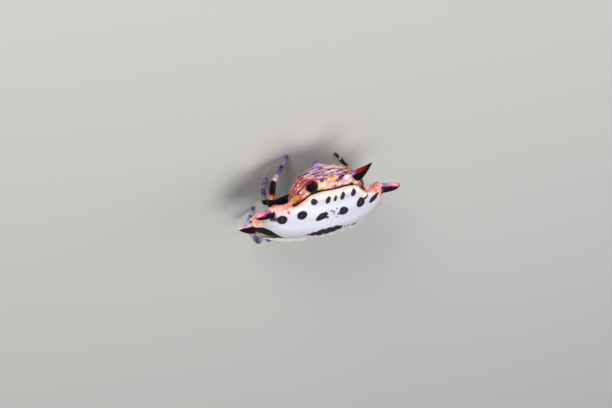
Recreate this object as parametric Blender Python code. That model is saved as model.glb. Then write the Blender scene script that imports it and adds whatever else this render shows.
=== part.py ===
"""Spiny orb weaver (Gasteracantha), an adult female at life size, standing on the tips of her eight legs.

The spider faces -Y, her left side is +X, and she stands on the plane Z = 0. All sizes below are in
millimetres. Points are written as (x, y, height): x from the middle line, y from the middle of the abdomen
shield, and the height above the ground. At the end an empty carries every piece, so that the origin is the
middle of the whole animal on the ground.
"""

import math

import bmesh
import bpy
import numpy as np
from mathutils import Matrix, Vector

MM = 0.001

# Joint lines between pieces
GAP = 0.12
EYE_GAP = 0.04
# Vertices closer than this are one after a cut
WELD = 0.002

# Abdomen shield: the hard pale plate over the abdomen
SHIELD_HEIGHT = 6.18
SHIELD_THICKNESS = 0.54
SHIELD_RIM = 0.26
SHIELD_SIDE_FALL = 0.043
SHIELD_REAR_FALL = 0.11
SHIELD_FRONT_FALL = 0.045
SHIELD_FRONT_START = 1.2
SHIELD_CENTRE = (0.0, -0.35)
SHIELD_POINTS = 60
# Rings of the upper face and of the lower face, as shares of the outline
SHIELD_TOP_SHARES = (0.12, 0.35, 0.56, 0.74, 0.86)
SHIELD_UNDER_SHARES = (1.0, 0.6, 0.2)
SHIELD_UNDER_BEVEL = 0.1
RIM_TURNS = (0.0, 22.5, 45.0, 67.5, 90.0)
# Half outline from the middle of the front edge to the middle of the rear edge
SHIELD_HALF_OUTLINE = (
    (0.0, -3.4),
    (1.6, -3.52),
    (3.3, -3.56),
    (4.8, -3.32),
    (5.72, -2.8),
    (6.05, -2.0),
    (5.75, -1.1),
    (5.4, -0.2),
    (5.08, 0.45),
    (4.3, 0.72),
    (3.4, 0.95),
    (2.75, 1.5),
    (2.15, 2.05),
    (1.2, 2.25),
    (0.0, 2.26),
)

# Sigilla, the small dark pits in the shield: x, y, half width, half length, turn in degrees
SIGILLUM_DEPTH = 0.16
REAR_SIGILLA = (
    (4.42, -0.42, 0.44, 0.38, 10),
    (2.8, 0.2, 0.42, 0.38, 0),
    (1.82, 1.78, 0.24, 0.25, 0),
    (0.72, 1.86, 0.17, 0.29, -12),
)
MIDDLE_SIGILLUM = (0.0, 1.76, 0.12, 0.24, 0)
MEDIAN_SIGILLA = ((1.0, 0.0, 0.5, 0.36, -25),)
FRONT_SIGILLA = (
    (0.42, -2.34, 0.32, 0.18, 0),
    (1.24, -2.36, 0.36, 0.2, 4),
    (2.12, -2.34, 0.38, 0.2, 0),
    (3.02, -2.3, 0.4, 0.21, -4),
    (3.98, -2.2, 0.46, 0.24, -10),
)

# Abdomen underside: rings from the shield down to the cone that carries the spinnerets.
# Each ring is height, half width, front edge, rear edge and squareness.
# The line is the joint under the shield; inset and edge are how far it stands back from the shield's rim.
UNDERSIDE_LINE = 0.14
UNDERSIDE_INSET = 0.1
UNDERSIDE_EDGE = 0.18
UNDERSIDE_WING = 0.36
UNDERSIDE_RINGS = (
    (4.85, 3.62, -2.6, 2.56, 2.6),
    (4.25, 3.35, -2.0, 2.72, 2.8),
    (3.4, 3.0, -1.3, 2.55, 2.8),
    (2.75, 2.5, -0.7, 2.3, 2.7),
    (2.38, 1.75, 0.0, 1.98, 2.5),
    (2.1, 1.0, 0.65, 1.82, 2.2),
    (1.94, 0.5, 0.95, 1.78, 2.0),
)
RINGS_BETWEEN = 3
FOLD_HEIGHT = 0.06
FOLD_COUNT = 7

# Spinnerets at the tip of the cone
CONE_TIP = (0.0, 1.4, 1.94)
SPINNERET_LENGTH = 0.34
SPINNERET_RADIUS = 0.15
SPINNERET_SPREAD = 0.2
SPINNERET_SINK = 0.05
# The low boss under them: depth below the cone's tip, and radius
BOSS_DEPTHS = (-0.1, 0.1, 0.16)
BOSS_RADII = (0.42, 0.36, 0.25)
# Each of the six: place along and across the body, lean outwards, and size, as shares
SPINNERETS = (
    (-1, -1, 0.35, 1.0),
    (-1, 1, 0.35, 1.0),
    (1, -1, 0.35, 1.0),
    (1, 1, 0.35, 1.0),
    (0, -0.55, 0.2, 0.7),
    (0, 0.55, 0.2, 0.7),
)

# Spines: root centre (sunk below the surface), tip, radius at the root, bow sideways
SPINES = {
    "spine_front": ((5.35, -2.1, 4.3), (6.98, -2.86, 3.66), 0.5, (0.04, -0.08, 0.08)),
    "spine_side": ((4.6, 0.2, 4.62), (6.86, 0.34, 4.86), 0.44, (0.0, 0.05, 0.12)),
    "spine_rear": ((1.95, 1.75, 4.7), (2.84, 5.0, 5.2), 0.5, (0.04, 0.0, -0.04)),
}
# How far the tips of the spines on her left stand off the mirror image of the right ones
SPINE_LEAN = {
    "spine_front": (-0.28, -0.6, 0.0),
    "spine_side": (0.0, 0.0, 0.1),
    "spine_rear": (0.0, 0.0, 0.0),
}
# Radius along each spine as a share of its root
SPINE_TAPER = {
    "spine_front": (1.0, 0.96, 0.88, 0.74, 0.56, 0.36),
    "spine_side": (1.0, 0.95, 0.87, 0.78, 0.67, 0.5),
    "spine_rear": (1.0, 1.0, 0.94, 0.76, 0.53, 0.3),
}
SPINE_TIP_RADIUS = 0.05
SPINE_SIDES = 12

# Prosoma: rings along the body as y, half width, bottom and top
PROSOMA_RINGS = (
    (-1.42, 0.4, 2.7, 3.35),
    (-1.65, 0.95, 2.3, 3.6),
    (-2.1, 1.35, 2.0, 3.75),
    (-2.7, 1.55, 1.9, 3.9),
    (-3.3, 1.5, 1.88, 4.2),
    (-3.8, 1.3, 1.95, 4.5),
    (-4.3, 1.12, 2.1, 4.58),
    (-4.7, 1.02, 2.4, 4.4),
    (-4.95, 0.85, 2.75, 4.0),
)
PROSOMA_SQUARENESS = 2.3
PEDICEL_RADIUS = 0.3
PEDICEL_FROM = (0.0, -1.9, 3.0)
PEDICEL_TO = (0.0, -0.4, 3.45)

# Eyes: the place each is moved from to the nearest point of the head, and its radius
EYES = {
    "eye_front_median": ((0.24, -4.8, 3.42), 0.13),
    "eye_rear_median": ((0.28, -4.6, 4.2), 0.13),
    "eye_front_side": ((0.93, -4.62, 3.72), 0.11),
    "eye_rear_side": ((0.98, -4.42, 3.98), 0.11),
}

# How far an eye's middle stands off the head, as a share of its radius
EYE_RISE = 0.25

CHELICERA_PATH = ((0.4, -4.62, 3.05), (0.43, -5.1, 2.75), (0.41, -5.12, 2.1), (0.36, -4.95, 1.55))
CHELICERA_RADII = (0.36, 0.42, 0.36, 0.22)
FANG_PATH = ((0.36, -4.98, 1.62), (0.3, -4.9, 1.36), (0.16, -4.72, 1.24))
FANG_RADII = (0.13, 0.1, 0.05)
PALP_PATH = ((0.9, -4.3, 2.6), (1.1, -5.0, 2.75), (1.08, -5.65, 2.7), (0.98, -5.95, 2.1), (0.88, -6.0, 1.6))
PALP_RADII = (0.25, 0.25, 0.25, 0.25, 0.14)

# Legs: end of the coxa, knee, end of the tibia, and the foot on the ground
LEG_JOINTS = {
    "leg_right_1": ((-1.35, -4.35, 2.35), (-2.9, -7.0, 2.6), (-2.3, -8.3, 1.3), (-0.7, -6.9)),
    "leg_right_2": ((-1.85, -3.45, 2.3), (-4.55, -5.7, 3.4), (-4.45, -6.35, 1.5), (-3.6, -5.4)),
    "leg_right_3": ((-1.75, -2.5, 2.2), (-4.23, -1.94, 2.16), (-4.5, -0.6, 1.75), (-3.34, -1.46)),
    "leg_right_4": ((-1.35, -1.55, 2.2), (-4.28, -1.07, 3.06), (-4.15, 0.9, 2.31), (-1.9, 1.2)),
    "leg_left_1": ((1.35, -4.35, 2.35), (2.9, -6.9, 2.9), (2.7, -8.2, 1.5), (1.5, -7.0)),
    "leg_left_2": ((1.85, -3.45, 2.3), (4.7, -4.9, 3.2), (4.8, -6.5, 2.0), (3.7, -5.6)),
    "leg_left_3": ((1.75, -2.5, 2.2), (4.0, -3.9, 2.3), (3.9, -2.55, 1.6), (2.3, -1.4)),
    "leg_left_4": ((1.35, -1.55, 2.2), (4.2, -3.1, 2.9), (4.44, -1.12, 2.46), (2.89, 0.05)),
}
# The coxae gather towards this y inside the prosoma, and rise by this much
COXA_GATHER = -3.1
COXA_RISE = 0.25
COXA_RADII = (0.37, 0.37, 0.3)
FEMUR_RADII = (0.25, 0.3, 0.31, 0.28, 0.25)
TIBIA_RADII = (0.25, 0.28, 0.25, 0.26, 0.24)
FOOT_RADII = (0.24, 0.25, 0.24, 0.21, 0.2, 0.13, 0.12)
FOOT_OVERRUN = 0.25
FOOT_BEND_SHARE = 0.55
FOOT_BEND_RISE = 0.06
FEMUR_BOW = 0.1
LEG_SIDES = 10

COLOURS = {
    "shield": ((0.80, 0.79, 0.84), 0.25),
    "underside": ((0.55, 0.24, 0.10), 0.45),
    "pale_spine": ((0.80, 0.36, 0.32), 0.35),
    "dark_spine": ((0.16, 0.02, 0.03), 0.3),
    "carapace": ((0.06, 0.035, 0.03), 0.35),
    "eyes": ((0.01, 0.01, 0.012), 0.08),
    "legs": ((0.30, 0.18, 0.22), 0.4),
}


def smooth_curve(points, steps, closed=False):
    """Points on a smooth curve through the given ones, with this many steps between each pair."""
    points = np.array(points, float)
    count = len(points)
    spans = count if closed else count - 1
    found = []
    for i in range(spans):
        if closed:
            before, start, end, after = (points[(i + k) % count] for k in (-1, 0, 1, 2))
        else:
            start, end = points[i], points[i + 1]
            before = points[i - 1] if i else 2 * start - end
            after = points[i + 2] if i + 2 < count else 2 * end - start
        for t in np.arange(steps) / steps:
            found.append(
                0.5
                * (
                    2 * start
                    + (end - before) * t
                    + (2 * before - 5 * start + 4 * end - after) * t**2
                    + (3 * start - before - 3 * end + after) * t**3
                )
            )
    if not closed:
        found.append(points[-1])
    return np.array(found)


def along(values, steps):
    """The same smooth curve for plain numbers, such as radii."""
    return smooth_curve([(value,) for value in values], steps)[:, 0]


def mirrored(point, side):
    return (side * point[0], *point[1:])


def closed_skin(rings):
    """A bmesh over rings of equally many points in millimetres, with a fan over each end."""
    mesh = bmesh.new()
    rows = [[mesh.verts.new(Vector(point) * MM) for point in ring] for ring in rings]
    for lower, upper in zip(rows, rows[1:]):
        for i in range(len(lower)):
            j = (i + 1) % len(lower)
            mesh.faces.new((lower[i], lower[j], upper[j], upper[i]))
    for row in (rows[0], rows[-1]):
        middle = mesh.verts.new(sum((vert.co for vert in row), Vector()) / len(row))
        for i in range(len(row)):
            mesh.faces.new((row[i], row[(i + 1) % len(row)], middle))
    bmesh.ops.triangulate(mesh, faces=mesh.faces)
    bmesh.ops.recalc_face_normals(mesh, faces=mesh.faces)
    return mesh


def new_object(name, mesh):
    data = bpy.data.meshes.new(name)
    mesh.to_mesh(data)
    mesh.free()
    made = bpy.data.objects.new(name, data)
    spider.objects.link(made)
    return made


def lofted(name, rings):
    return new_object(name, closed_skin(rings))


def tube(name, path, radii, sides, steps):
    """A round limb along a smooth path. The radii lie at even steps of the same path."""
    centres = smooth_curve(path, steps)
    widths = along(radii, (len(centres) - 1) // (len(radii) - 1))
    heading = centres[1] - centres[0]
    steep = abs(heading[2]) > 0.9 * np.linalg.norm(heading)
    across = np.cross(heading, (1.0, 0.0, 0.0) if steep else (0.0, 0.0, 1.0))
    rings = []
    for i, centre in enumerate(centres):
        heading = centres[min(i + 1, len(centres) - 1)] - centres[max(i - 1, 0)]
        heading /= np.linalg.norm(heading)
        across -= heading * across.dot(heading)
        across /= np.linalg.norm(across)
        up = np.cross(across, heading)
        turns = 2 * math.pi * np.arange(sides) / sides
        rings.append([centre + widths[i] * (math.cos(a) * across + math.sin(a) * up) for a in turns])
    return lofted(name, rings)


def remove(thing):
    data = thing.data
    bpy.data.objects.remove(thing)
    bpy.data.meshes.remove(data)


def largest_surface(mesh):
    """Keeps the largest connected surface of a bmesh."""
    left = set(mesh.verts)
    parts = []
    while left:
        queue = [left.pop()]
        part = set(queue)
        while queue:
            for edge in queue.pop().link_edges:
                for vert in edge.verts:
                    if vert in left:
                        left.remove(vert)
                        part.add(vert)
                        queue.append(vert)
        parts.append(part)
    keep = max(parts, key=len)
    bmesh.ops.delete(mesh, geom=[vert for vert in mesh.verts if vert not in keep], context="VERTS")


def apply_boolean(piece, operation, others):
    """Joins or cuts a piece with other objects, removes them, and keeps the largest surface."""
    helpers = bpy.data.collections.new("helpers")
    for other in others:
        for holder in other.users_collection:
            holder.objects.unlink(other)
        helpers.objects.link(other)
    modifier = piece.modifiers.new("boolean", "BOOLEAN")
    modifier.operation = operation
    modifier.operand_type = "COLLECTION"
    modifier.collection = helpers
    modifier.solver = "EXACT"
    graph = bpy.context.evaluated_depsgraph_get()
    result = bpy.data.meshes.new_from_object(piece.evaluated_get(graph))
    piece.modifiers.clear()
    mesh = bmesh.new()
    mesh.from_mesh(result)
    bpy.data.meshes.remove(result)
    bmesh.ops.remove_doubles(mesh, verts=mesh.verts, dist=WELD * MM)
    bmesh.ops.dissolve_degenerate(mesh, edges=mesh.edges, dist=WELD * MM)
    bmesh.ops.triangulate(mesh, faces=mesh.faces)
    largest_surface(mesh)
    mesh.to_mesh(piece.data)
    mesh.free()
    for other in others:
        remove(other)
    bpy.data.collections.remove(helpers)
    return piece


def grown(piece, distance):
    """A copy of a piece, swollen by a joint line, to cut its neighbour with."""
    mesh = bmesh.new()
    mesh.from_mesh(piece.data)
    mesh.normal_update()
    offsets = [vert.normal * distance * MM for vert in mesh.verts]
    for vert, offset in zip(mesh.verts, offsets):
        vert.co += offset
    return new_object(piece.name + "_grown", mesh)


def cut_clear(piece, neighbours, distance=GAP):
    return apply_boolean(piece, "DIFFERENCE", [grown(other, distance) for other in neighbours])


def shield_top(x, y):
    """Height of the shield's upper face: domed, falling to the sides, the rear and a little to the front."""
    rear, front = max(y, 0.0), max(-y - SHIELD_FRONT_START, 0.0)
    return SHIELD_HEIGHT - SHIELD_SIDE_FALL * x**2 - SHIELD_REAR_FALL * rear**2 - SHIELD_FRONT_FALL * front**2


def shield_normal(x, y):
    """Direction square to the upper face at a point."""
    rear, front = max(y, 0.0), max(-y - SHIELD_FRONT_START, 0.0)
    lengthwise = 2 * SHIELD_REAR_FALL * rear - 2 * SHIELD_FRONT_FALL * front
    return Vector((2 * SHIELD_SIDE_FALL * x, lengthwise, 1)).normalized()


def shield_outline():
    """Points round the shield's edge at even spacing."""
    half = list(SHIELD_HALF_OUTLINE)
    left = [(-x, y) for x, y in reversed(half[1:-1])]
    dense = smooth_curve(half + left, 24, closed=True)
    steps = np.linalg.norm(np.diff(dense, axis=0, append=dense[:1]), axis=1)
    travelled = np.concatenate([[0.0], np.cumsum(steps)])
    wanted = np.linspace(0.0, travelled[-1], SHIELD_POINTS, endpoint=False)
    ends = np.vstack([dense, dense[:1]])
    return np.column_stack([np.interp(wanted, travelled, ends[:, k]) for k in (0, 1)])


def shield_ring(share, drop, inset=0.0):
    """One ring of the shield: a share of the outline, this far below its upper face."""
    ring = []
    for x, y in shield_outline():
        out = Vector((x - SHIELD_CENTRE[0], y - SHIELD_CENTRE[1]))
        out = out * share - out.normalized() * inset
        px, py = SHIELD_CENTRE[0] + out.x, SHIELD_CENTRE[1] + out.y
        ring.append((px, py, shield_top(px, py) - drop))
    return ring


def make_shield():
    rings = [shield_ring(share, 0.0) for share in SHIELD_TOP_SHARES]
    for turn in RIM_TURNS:
        angle = math.radians(turn)
        rings.append(shield_ring(1.0, SHIELD_RIM * (1 - math.cos(angle)), SHIELD_RIM * (1 - math.sin(angle))))
    rings.append(shield_ring(1.0, SHIELD_THICKNESS - SHIELD_UNDER_BEVEL))
    rings += [shield_ring(share, SHIELD_THICKNESS, SHIELD_UNDER_BEVEL) for share in SHIELD_UNDER_SHARES]
    shield = lofted("abdomen_shield", rings)
    cutters = []
    for x, y, half_width, half_length, turn in sigilla():
        mesh = bmesh.new()
        bmesh.ops.create_uvsphere(mesh, u_segments=12, v_segments=8, radius=MM)
        turned = Vector((0, 0, 1)).rotation_difference(shield_normal(x, y)).to_matrix().to_4x4()
        size = Matrix.Diagonal((half_width, half_length, SIGILLUM_DEPTH, 1))
        place = Matrix.Translation(Vector((x, y, shield_top(x, y))) * MM)
        mesh.transform(place @ turned @ Matrix.Rotation(math.radians(turn), 4, "Z") @ size)
        cutters.append(new_object("sigillum", mesh))
    return apply_boolean(shield, "DIFFERENCE", cutters)


def sigilla():
    """All pits of the shield, right and left."""
    found = [MIDDLE_SIGILLUM]
    for x, y, half_width, half_length, turn in REAR_SIGILLA + MEDIAN_SIGILLA + FRONT_SIGILLA:
        found.append((x, y, half_width, half_length, turn))
        found.append((-x, y, half_width, half_length, -turn))
    return found


def make_underside():
    """The soft lower half: wings under the shield, a folded rear wall, and the cone."""
    directions = [math.atan2(y - SHIELD_CENTRE[1], x - SHIELD_CENTRE[0]) for x, y in shield_outline()]
    lid = SHIELD_THICKNESS + UNDERSIDE_LINE
    keys = [
        shield_ring(1.0, lid, UNDERSIDE_INSET),
        shield_ring(1.0, lid + 0.6 * UNDERSIDE_WING, UNDERSIDE_EDGE),
    ]
    for height, half_width, front, rear, squareness in UNDERSIDE_RINGS:
        middle, depth = (front + rear) / 2, (rear - front) / 2
        ring = []
        for direction in directions:
            c, s = math.cos(direction), math.sin(direction)
            reach = (abs(c / half_width) ** squareness + abs(s / depth) ** squareness) ** (-1 / squareness)
            x, y = c * reach, middle + s * reach
            ring.append((x, y, min(height, shield_top(x, y) - lid - UNDERSIDE_WING)))
        keys.append(ring)
    keys = np.array(keys)
    body = np.stack([smooth_curve(keys[:, i], RINGS_BETWEEN) for i in range(keys.shape[1])], axis=1)
    first, last = RINGS_BETWEEN, len(body) - 2
    for level in range(first, last):
        t = (level - first) / (last - first)
        wave = FOLD_HEIGHT * math.sin(math.pi * t) ** 0.5 * math.cos(2 * math.pi * FOLD_COUNT * t)
        for i, direction in enumerate(directions):
            rearward = 0.5 + 0.5 * math.sin(direction)
            body[level, i, 0] += wave * rearward * math.cos(direction)
            body[level, i, 1] += wave * rearward * math.sin(direction)
    rings = [shield_ring(0.2, lid), shield_ring(0.6, lid, UNDERSIDE_INSET)] + list(body)
    return lofted("abdomen_underside", rings)


def make_spinnerets():
    x, y, height = CONE_TIP
    boss_path = [(x, y, height - depth) for depth in BOSS_DEPTHS]
    boss = tube("spinnerets", boss_path, BOSS_RADII, 14, 1)
    cones = []
    for lengthwise, across, lean, size in SPINNERETS:
        spread = np.array((across, lengthwise, 0.0)) * SPINNERET_SPREAD
        foot = np.array((x, y, height - SPINNERET_SINK)) + spread
        tip = foot - spread * lean - (0.0, 0.0, SPINNERET_LENGTH * size)
        radius = SPINNERET_RADIUS * size
        cones.append(tube("cone", (foot, tip), (radius, radius * 0.75, radius * 0.45), 8, 2))
    return apply_boolean(boss, "UNION", cones)


def make_spine(name, side, neighbours):
    root, tip, radius, bow = SPINES[name]
    root, tip, bow = (np.array(mirrored(point, side)) for point in (root, tip, bow))
    if side > 0:
        tip += SPINE_LEAN[name]
    middle = (root + tip) / 2 + bow
    widths = [share * radius for share in SPINE_TAPER[name]] + [SPINE_TIP_RADIUS]
    piece = tube(f"{name}_{'left' if side > 0 else 'right'}", (root, middle, tip), widths, SPINE_SIDES, 3)
    return cut_clear(piece, neighbours)


def make_prosoma():
    """Carapace, breast plate and the eight coxae, which are one hard case in this model."""
    keys = np.array(PROSOMA_RINGS)
    fine = smooth_curve(keys, 2)
    rings = []
    for y, half_width, bottom, top in fine:
        middle, half_height = (bottom + top) / 2, (top - bottom) / 2
        ring = []
        for a in 2 * math.pi * np.arange(24) / 24:
            c, s = math.cos(a), math.sin(a)
            reach = (abs(c) ** PROSOMA_SQUARENESS + abs(s) ** PROSOMA_SQUARENESS) ** (-1 / PROSOMA_SQUARENESS)
            ring.append((half_width * c * reach, y, middle + half_height * s * reach))
        rings.append(ring)
    prosoma = lofted("prosoma", rings)
    coxae = []
    for coxa_end, knee, tibia_end, foot in LEG_JOINTS.values():
        end = Vector(coxa_end)
        inner = Vector((end.x * 0.35, (end.y + COXA_GATHER) / 2, end.z + COXA_RISE))
        coxae.append(tube("coxa", (inner, end), COXA_RADII, 10, 2))
    return apply_boolean(prosoma, "UNION", coxae)


def make_leg(name, prosoma):
    """Femur, tibia with the patella, and foot, each cut clear of the one before it."""
    coxa_end, knee, tibia_end, foot = LEG_JOINTS[name]
    coxa_end, knee, tibia_end = (np.array(point) for point in (coxa_end, knee, tibia_end))
    foot = np.array((*foot, 0.0))
    thigh = (coxa_end + knee) / 2 + (0, 0, FEMUR_BOW)
    femur = tube(name + "_femur", (coxa_end, thigh, knee), FEMUR_RADII, LEG_SIDES, 2)
    cut_clear(femur, [prosoma])
    tibia = tube(name + "_tibia", (knee, (knee + tibia_end) / 2, tibia_end), TIBIA_RADII, LEG_SIDES, 2)
    cut_clear(tibia, [femur])
    last = foot - tibia_end
    below = foot + FOOT_OVERRUN * last / np.linalg.norm(last)
    bend = tibia_end + FOOT_BEND_SHARE * last + (0, 0, FOOT_BEND_RISE)
    tarsus = tube(name + "_foot", (tibia_end, bend, below), FOOT_RADII, LEG_SIDES, 3)
    cut_clear(tarsus, [tibia])
    mesh = bmesh.new()
    mesh.from_mesh(tarsus.data)
    bmesh.ops.bisect_plane(
        mesh,
        geom=mesh.verts[:] + mesh.edges[:] + mesh.faces[:],
        plane_co=(0, 0, 0),
        plane_no=(0, 0, -1),
        clear_outer=True,
    )
    rim = [edge for edge in mesh.edges if edge.is_boundary]
    bmesh.ops.edgeloop_fill(mesh, edges=rim)
    bmesh.ops.triangulate(mesh, faces=mesh.faces)
    bmesh.ops.recalc_face_normals(mesh, faces=mesh.faces)
    mesh.to_mesh(tarsus.data)
    mesh.free()
    return [femur, tibia, tarsus]


def make_eye(name, side, prosoma):
    place, radius = EYES[name]
    place = mirrored(place, side)
    mesh = bmesh.new()
    bmesh.ops.create_uvsphere(mesh, u_segments=10, v_segments=8, radius=radius * MM)
    surface, normal = nearest_surface(prosoma, place)
    mesh.transform(Matrix.Translation(surface + normal * EYE_RISE * radius * MM))
    eye = new_object(f"{name}_{'left' if side > 0 else 'right'}", mesh)
    return cut_clear(eye, [prosoma], EYE_GAP)


def nearest_surface(piece, place):
    """The point of a piece's surface nearest to a place in millimetres, and its normal there."""
    found, point, normal, face = piece.closest_point_on_mesh(Vector(place) * MM)
    return point, normal


def make_chelicera(side, prosoma):
    path = [mirrored(point, side) for point in CHELICERA_PATH]
    piece = tube(f"chelicera_{'left' if side > 0 else 'right'}", path, CHELICERA_RADII, 12, 2)
    fang = tube("fang", [mirrored(point, side) for point in FANG_PATH], FANG_RADII, 8, 2)
    apply_boolean(piece, "UNION", [fang])
    return cut_clear(piece, [prosoma])


def make_palp(side, neighbours):
    path = [mirrored(point, side) for point in PALP_PATH]
    piece = tube(f"palp_{'left' if side > 0 else 'right'}", path, PALP_RADII, 10, 2)
    return cut_clear(piece, neighbours)


def paint(pieces, colour_name):
    colour, roughness = COLOURS[colour_name]
    for piece in pieces:
        material = bpy.data.materials.new(piece.name)
        material.use_nodes = True
        shader = material.node_tree.nodes["Principled BSDF"]
        shader.inputs["Base Color"].default_value = (*colour, 1)
        shader.inputs["Roughness"].default_value = roughness
        shader.inputs["Metallic"].default_value = 0
        piece.data.materials.clear()
        piece.data.materials.append(material)
        piece.data.shade_smooth()
        piece.data.set_sharp_from_angle(angle=math.radians(50))


def stand_on_origin():
    """Parents every piece to an empty that puts the middle of the animal's footprint box at the origin."""
    corners = [piece.matrix_world @ vert.co for piece in spider.objects for vert in piece.data.vertices]
    low = Vector([min(corner[k] for corner in corners) for k in range(3)])
    high = Vector([max(corner[k] for corner in corners) for k in range(3)])
    carrier = bpy.data.objects.new("carrier", None)
    carrier.location = (-(low.x + high.x) / 2, -(low.y + high.y) / 2, -low.z)
    pieces = list(spider.objects)
    spider.objects.link(carrier)
    for piece in pieces:
        piece.parent = carrier


for old in list(bpy.data.objects):
    bpy.data.objects.remove(old)
spider = bpy.data.collections.new("spiny_orb_weaver")
bpy.context.scene.collection.children.link(spider)

shield = make_shield()
underside = make_underside()
paint([shield], "shield")
spinnerets = cut_clear(make_spinnerets(), [underside])
paint([underside, spinnerets], "underside")

for side in (1, -1):
    for name in SPINES:
        colour = "dark_spine" if name == "spine_rear" else "pale_spine"
        paint([make_spine(name, side, [shield, underside])], colour)

prosoma = make_prosoma()
pedicel = tube("pedicel", (PEDICEL_FROM, PEDICEL_TO), (PEDICEL_RADIUS, PEDICEL_RADIUS), 12, 1)
cut_clear(pedicel, [prosoma, underside])
paint([prosoma, pedicel], "carapace")

for side in (1, -1):
    chelicera = make_chelicera(side, prosoma)
    palp = make_palp(side, [prosoma, chelicera])
    paint([chelicera, palp], "carapace")
    paint([make_eye(name, side, prosoma) for name in EYES], "eyes")

for name in LEG_JOINTS:
    paint(make_leg(name, prosoma), "legs")

stand_on_origin()
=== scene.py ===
"""Looks of the spiny orb weaver: skins, shell, eyes, hairs, their markings, and the photo's view of her.

Points are in millimetres from the middle line, the middle of the abdomen shield and the ground, as in the
part's own source: x to her left, y to her rear, and height. to_world() puts them in the frame of the part.
Colours are written in shares of 255, as a screen shows them, and turned to linear values by linear().
"""

import math

import bpy
import numpy as np
from mathutils import Matrix, Vector


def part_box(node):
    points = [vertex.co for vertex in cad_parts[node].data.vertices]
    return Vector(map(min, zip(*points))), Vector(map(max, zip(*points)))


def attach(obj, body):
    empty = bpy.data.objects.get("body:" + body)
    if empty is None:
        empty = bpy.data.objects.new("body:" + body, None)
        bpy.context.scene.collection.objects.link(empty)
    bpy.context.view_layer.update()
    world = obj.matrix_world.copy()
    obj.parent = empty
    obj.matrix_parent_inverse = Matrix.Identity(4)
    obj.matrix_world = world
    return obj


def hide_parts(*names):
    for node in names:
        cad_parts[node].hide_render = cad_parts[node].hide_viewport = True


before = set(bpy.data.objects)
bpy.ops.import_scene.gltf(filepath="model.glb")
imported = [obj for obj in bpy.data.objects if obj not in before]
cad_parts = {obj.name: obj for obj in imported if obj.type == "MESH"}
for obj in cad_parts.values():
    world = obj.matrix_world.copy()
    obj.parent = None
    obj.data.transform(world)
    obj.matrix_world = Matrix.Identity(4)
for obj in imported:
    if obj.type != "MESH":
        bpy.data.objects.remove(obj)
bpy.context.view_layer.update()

MM = 0.001

# Abdomen shield
SHIELD_HEIGHT = 6.18
SHIELD_THICKNESS = 0.54
SHIELD_RIM = 0.26
SHIELD_SIDE_FALL = 0.043
SHIELD_REAR_FALL = 0.11
SHIELD_FRONT_FALL = 0.045
SHIELD_FRONT_START = 1.2
SHIELD_CENTRE = (0.0, -0.35)
SHIELD_REAR_EDGE = 2.26
SHIELD_POINTS = 260
RIGHT_CORNER = 0.34
RIGHT_FRONT = 0.14
SHIELD_TOP_SHARES = tuple(np.linspace(0.06, 0.94, 12))
SHIELD_HALF_OUTLINE = (
    (0.0, -3.4), (1.6, -3.52), (3.3, -3.56), (4.8, -3.32), (5.72, -2.8), (6.05, -2.0), (5.75, -1.1),
    (5.4, -0.2), (5.08, 0.45), (4.3, 0.72), (3.4, 0.95), (2.75, 1.5), (2.15, 2.05), (1.2, 2.25), (0.0, 2.26),
)

# How far below the shield's face the crease under its edge lies, and how much it climbs at the rear spines
CREASE_DROP = 0.62
CREASE_CLIMB = 0.1
# How far below the shield's edge the folds are counted from
FOLDS_START = 0.64

# Underside: how far below the shield's face its upper edge lies, and how far it stands back there.
# The first ring is inside the shield, the second is the bottom of the crease, the third its lower lip.
UNDERSIDE_EDGE = ((0.35, 0.3), (0.6, 0.2), (0.72, 0.09), (0.9, 0.17))
# How far below the shield's face its other rings stay
UNDERSIDE_LID = 1.04
# The other rings: height, half width, front, rear and squareness
UNDERSIDE_RINGS = (
    (4.85, 3.62, -2.6, 2.56, 2.6),
    (4.25, 3.35, -2.0, 2.72, 2.8),
    (3.4, 3.0, -1.3, 2.55, 2.8),
    (2.75, 2.5, -0.7, 2.3, 2.7),
    (2.38, 1.75, 0.0, 1.98, 2.5),
    (2.1, 1.0, 0.65, 1.82, 2.2),
    (1.94, 0.5, 0.95, 1.78, 2.0),
)
CONE_TIP = (0.0, 1.4, 1.94)
# Spinnerets: place across and lengthwise, and size
SPINNERETS = ((-1, -1, 1), (-1, 1, 1), (1, -1, 1), (1, 1, 1), (-0.55, 0, 0.7), (0.55, 0, 0.7))
FOLD_COUNT = 7.5
FOLD_HEIGHT = 0.06

# Spines, on her left as 1 and on her right as -1: root, tip, radius at the root, and bow
SPINES = {
    ("spine_front", 1): ((5.35, -2.1, 4.26), (6.56, -3.46, 3.54), 0.53, (0.04, -0.08, 0.08)),
    ("spine_front", -1): ((-5.35, -2.1, 4.26), (-7.14, -2.86, 3.62), 0.53, (-0.04, -0.08, 0.08)),
    ("spine_side", 1): ((4.6, 0.2, 4.62), (6.86, 0.34, 4.9), 0.44, (0.0, 0.05, 0.12)),
    ("spine_side", -1): ((-4.6, 0.2, 4.62), (-6.86, 0.34, 4.92), 0.44, (0.0, 0.05, 0.12)),
    ("spine_rear", 1): ((1.98, 1.75, 4.34), (2.84, 5.0, 5.2), 0.5, (0.04, 0.0, 0.02)),
    ("spine_rear", -1): ((-1.6, 1.75, 4.1), (-2.78, 4.7, 5.7), 0.56, (-0.04, 0.0, 0.02)),
}
# Their taper, how far the collar of skin round the root reaches, its radii, and where their own colours begin
SPINE_FORMS = {
    "spine_front": ((1.0, 0.98, 0.92, 0.8, 0.64, 0.44, 0.14), 0.42, (0.6, 0.58, 0.44), 0.3),
    "spine_side": ((1.02, 1.0, 0.94, 0.88, 0.82, 0.68, 0.26), 0.34, (0.52, 0.52, 0.42), 0.26),
    "spine_rear": ((1.0, 1.0, 0.94, 0.78, 0.56, 0.32, 0.08), 0.34, (0.56, 0.56, 0.46), 0.3),
}

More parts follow.
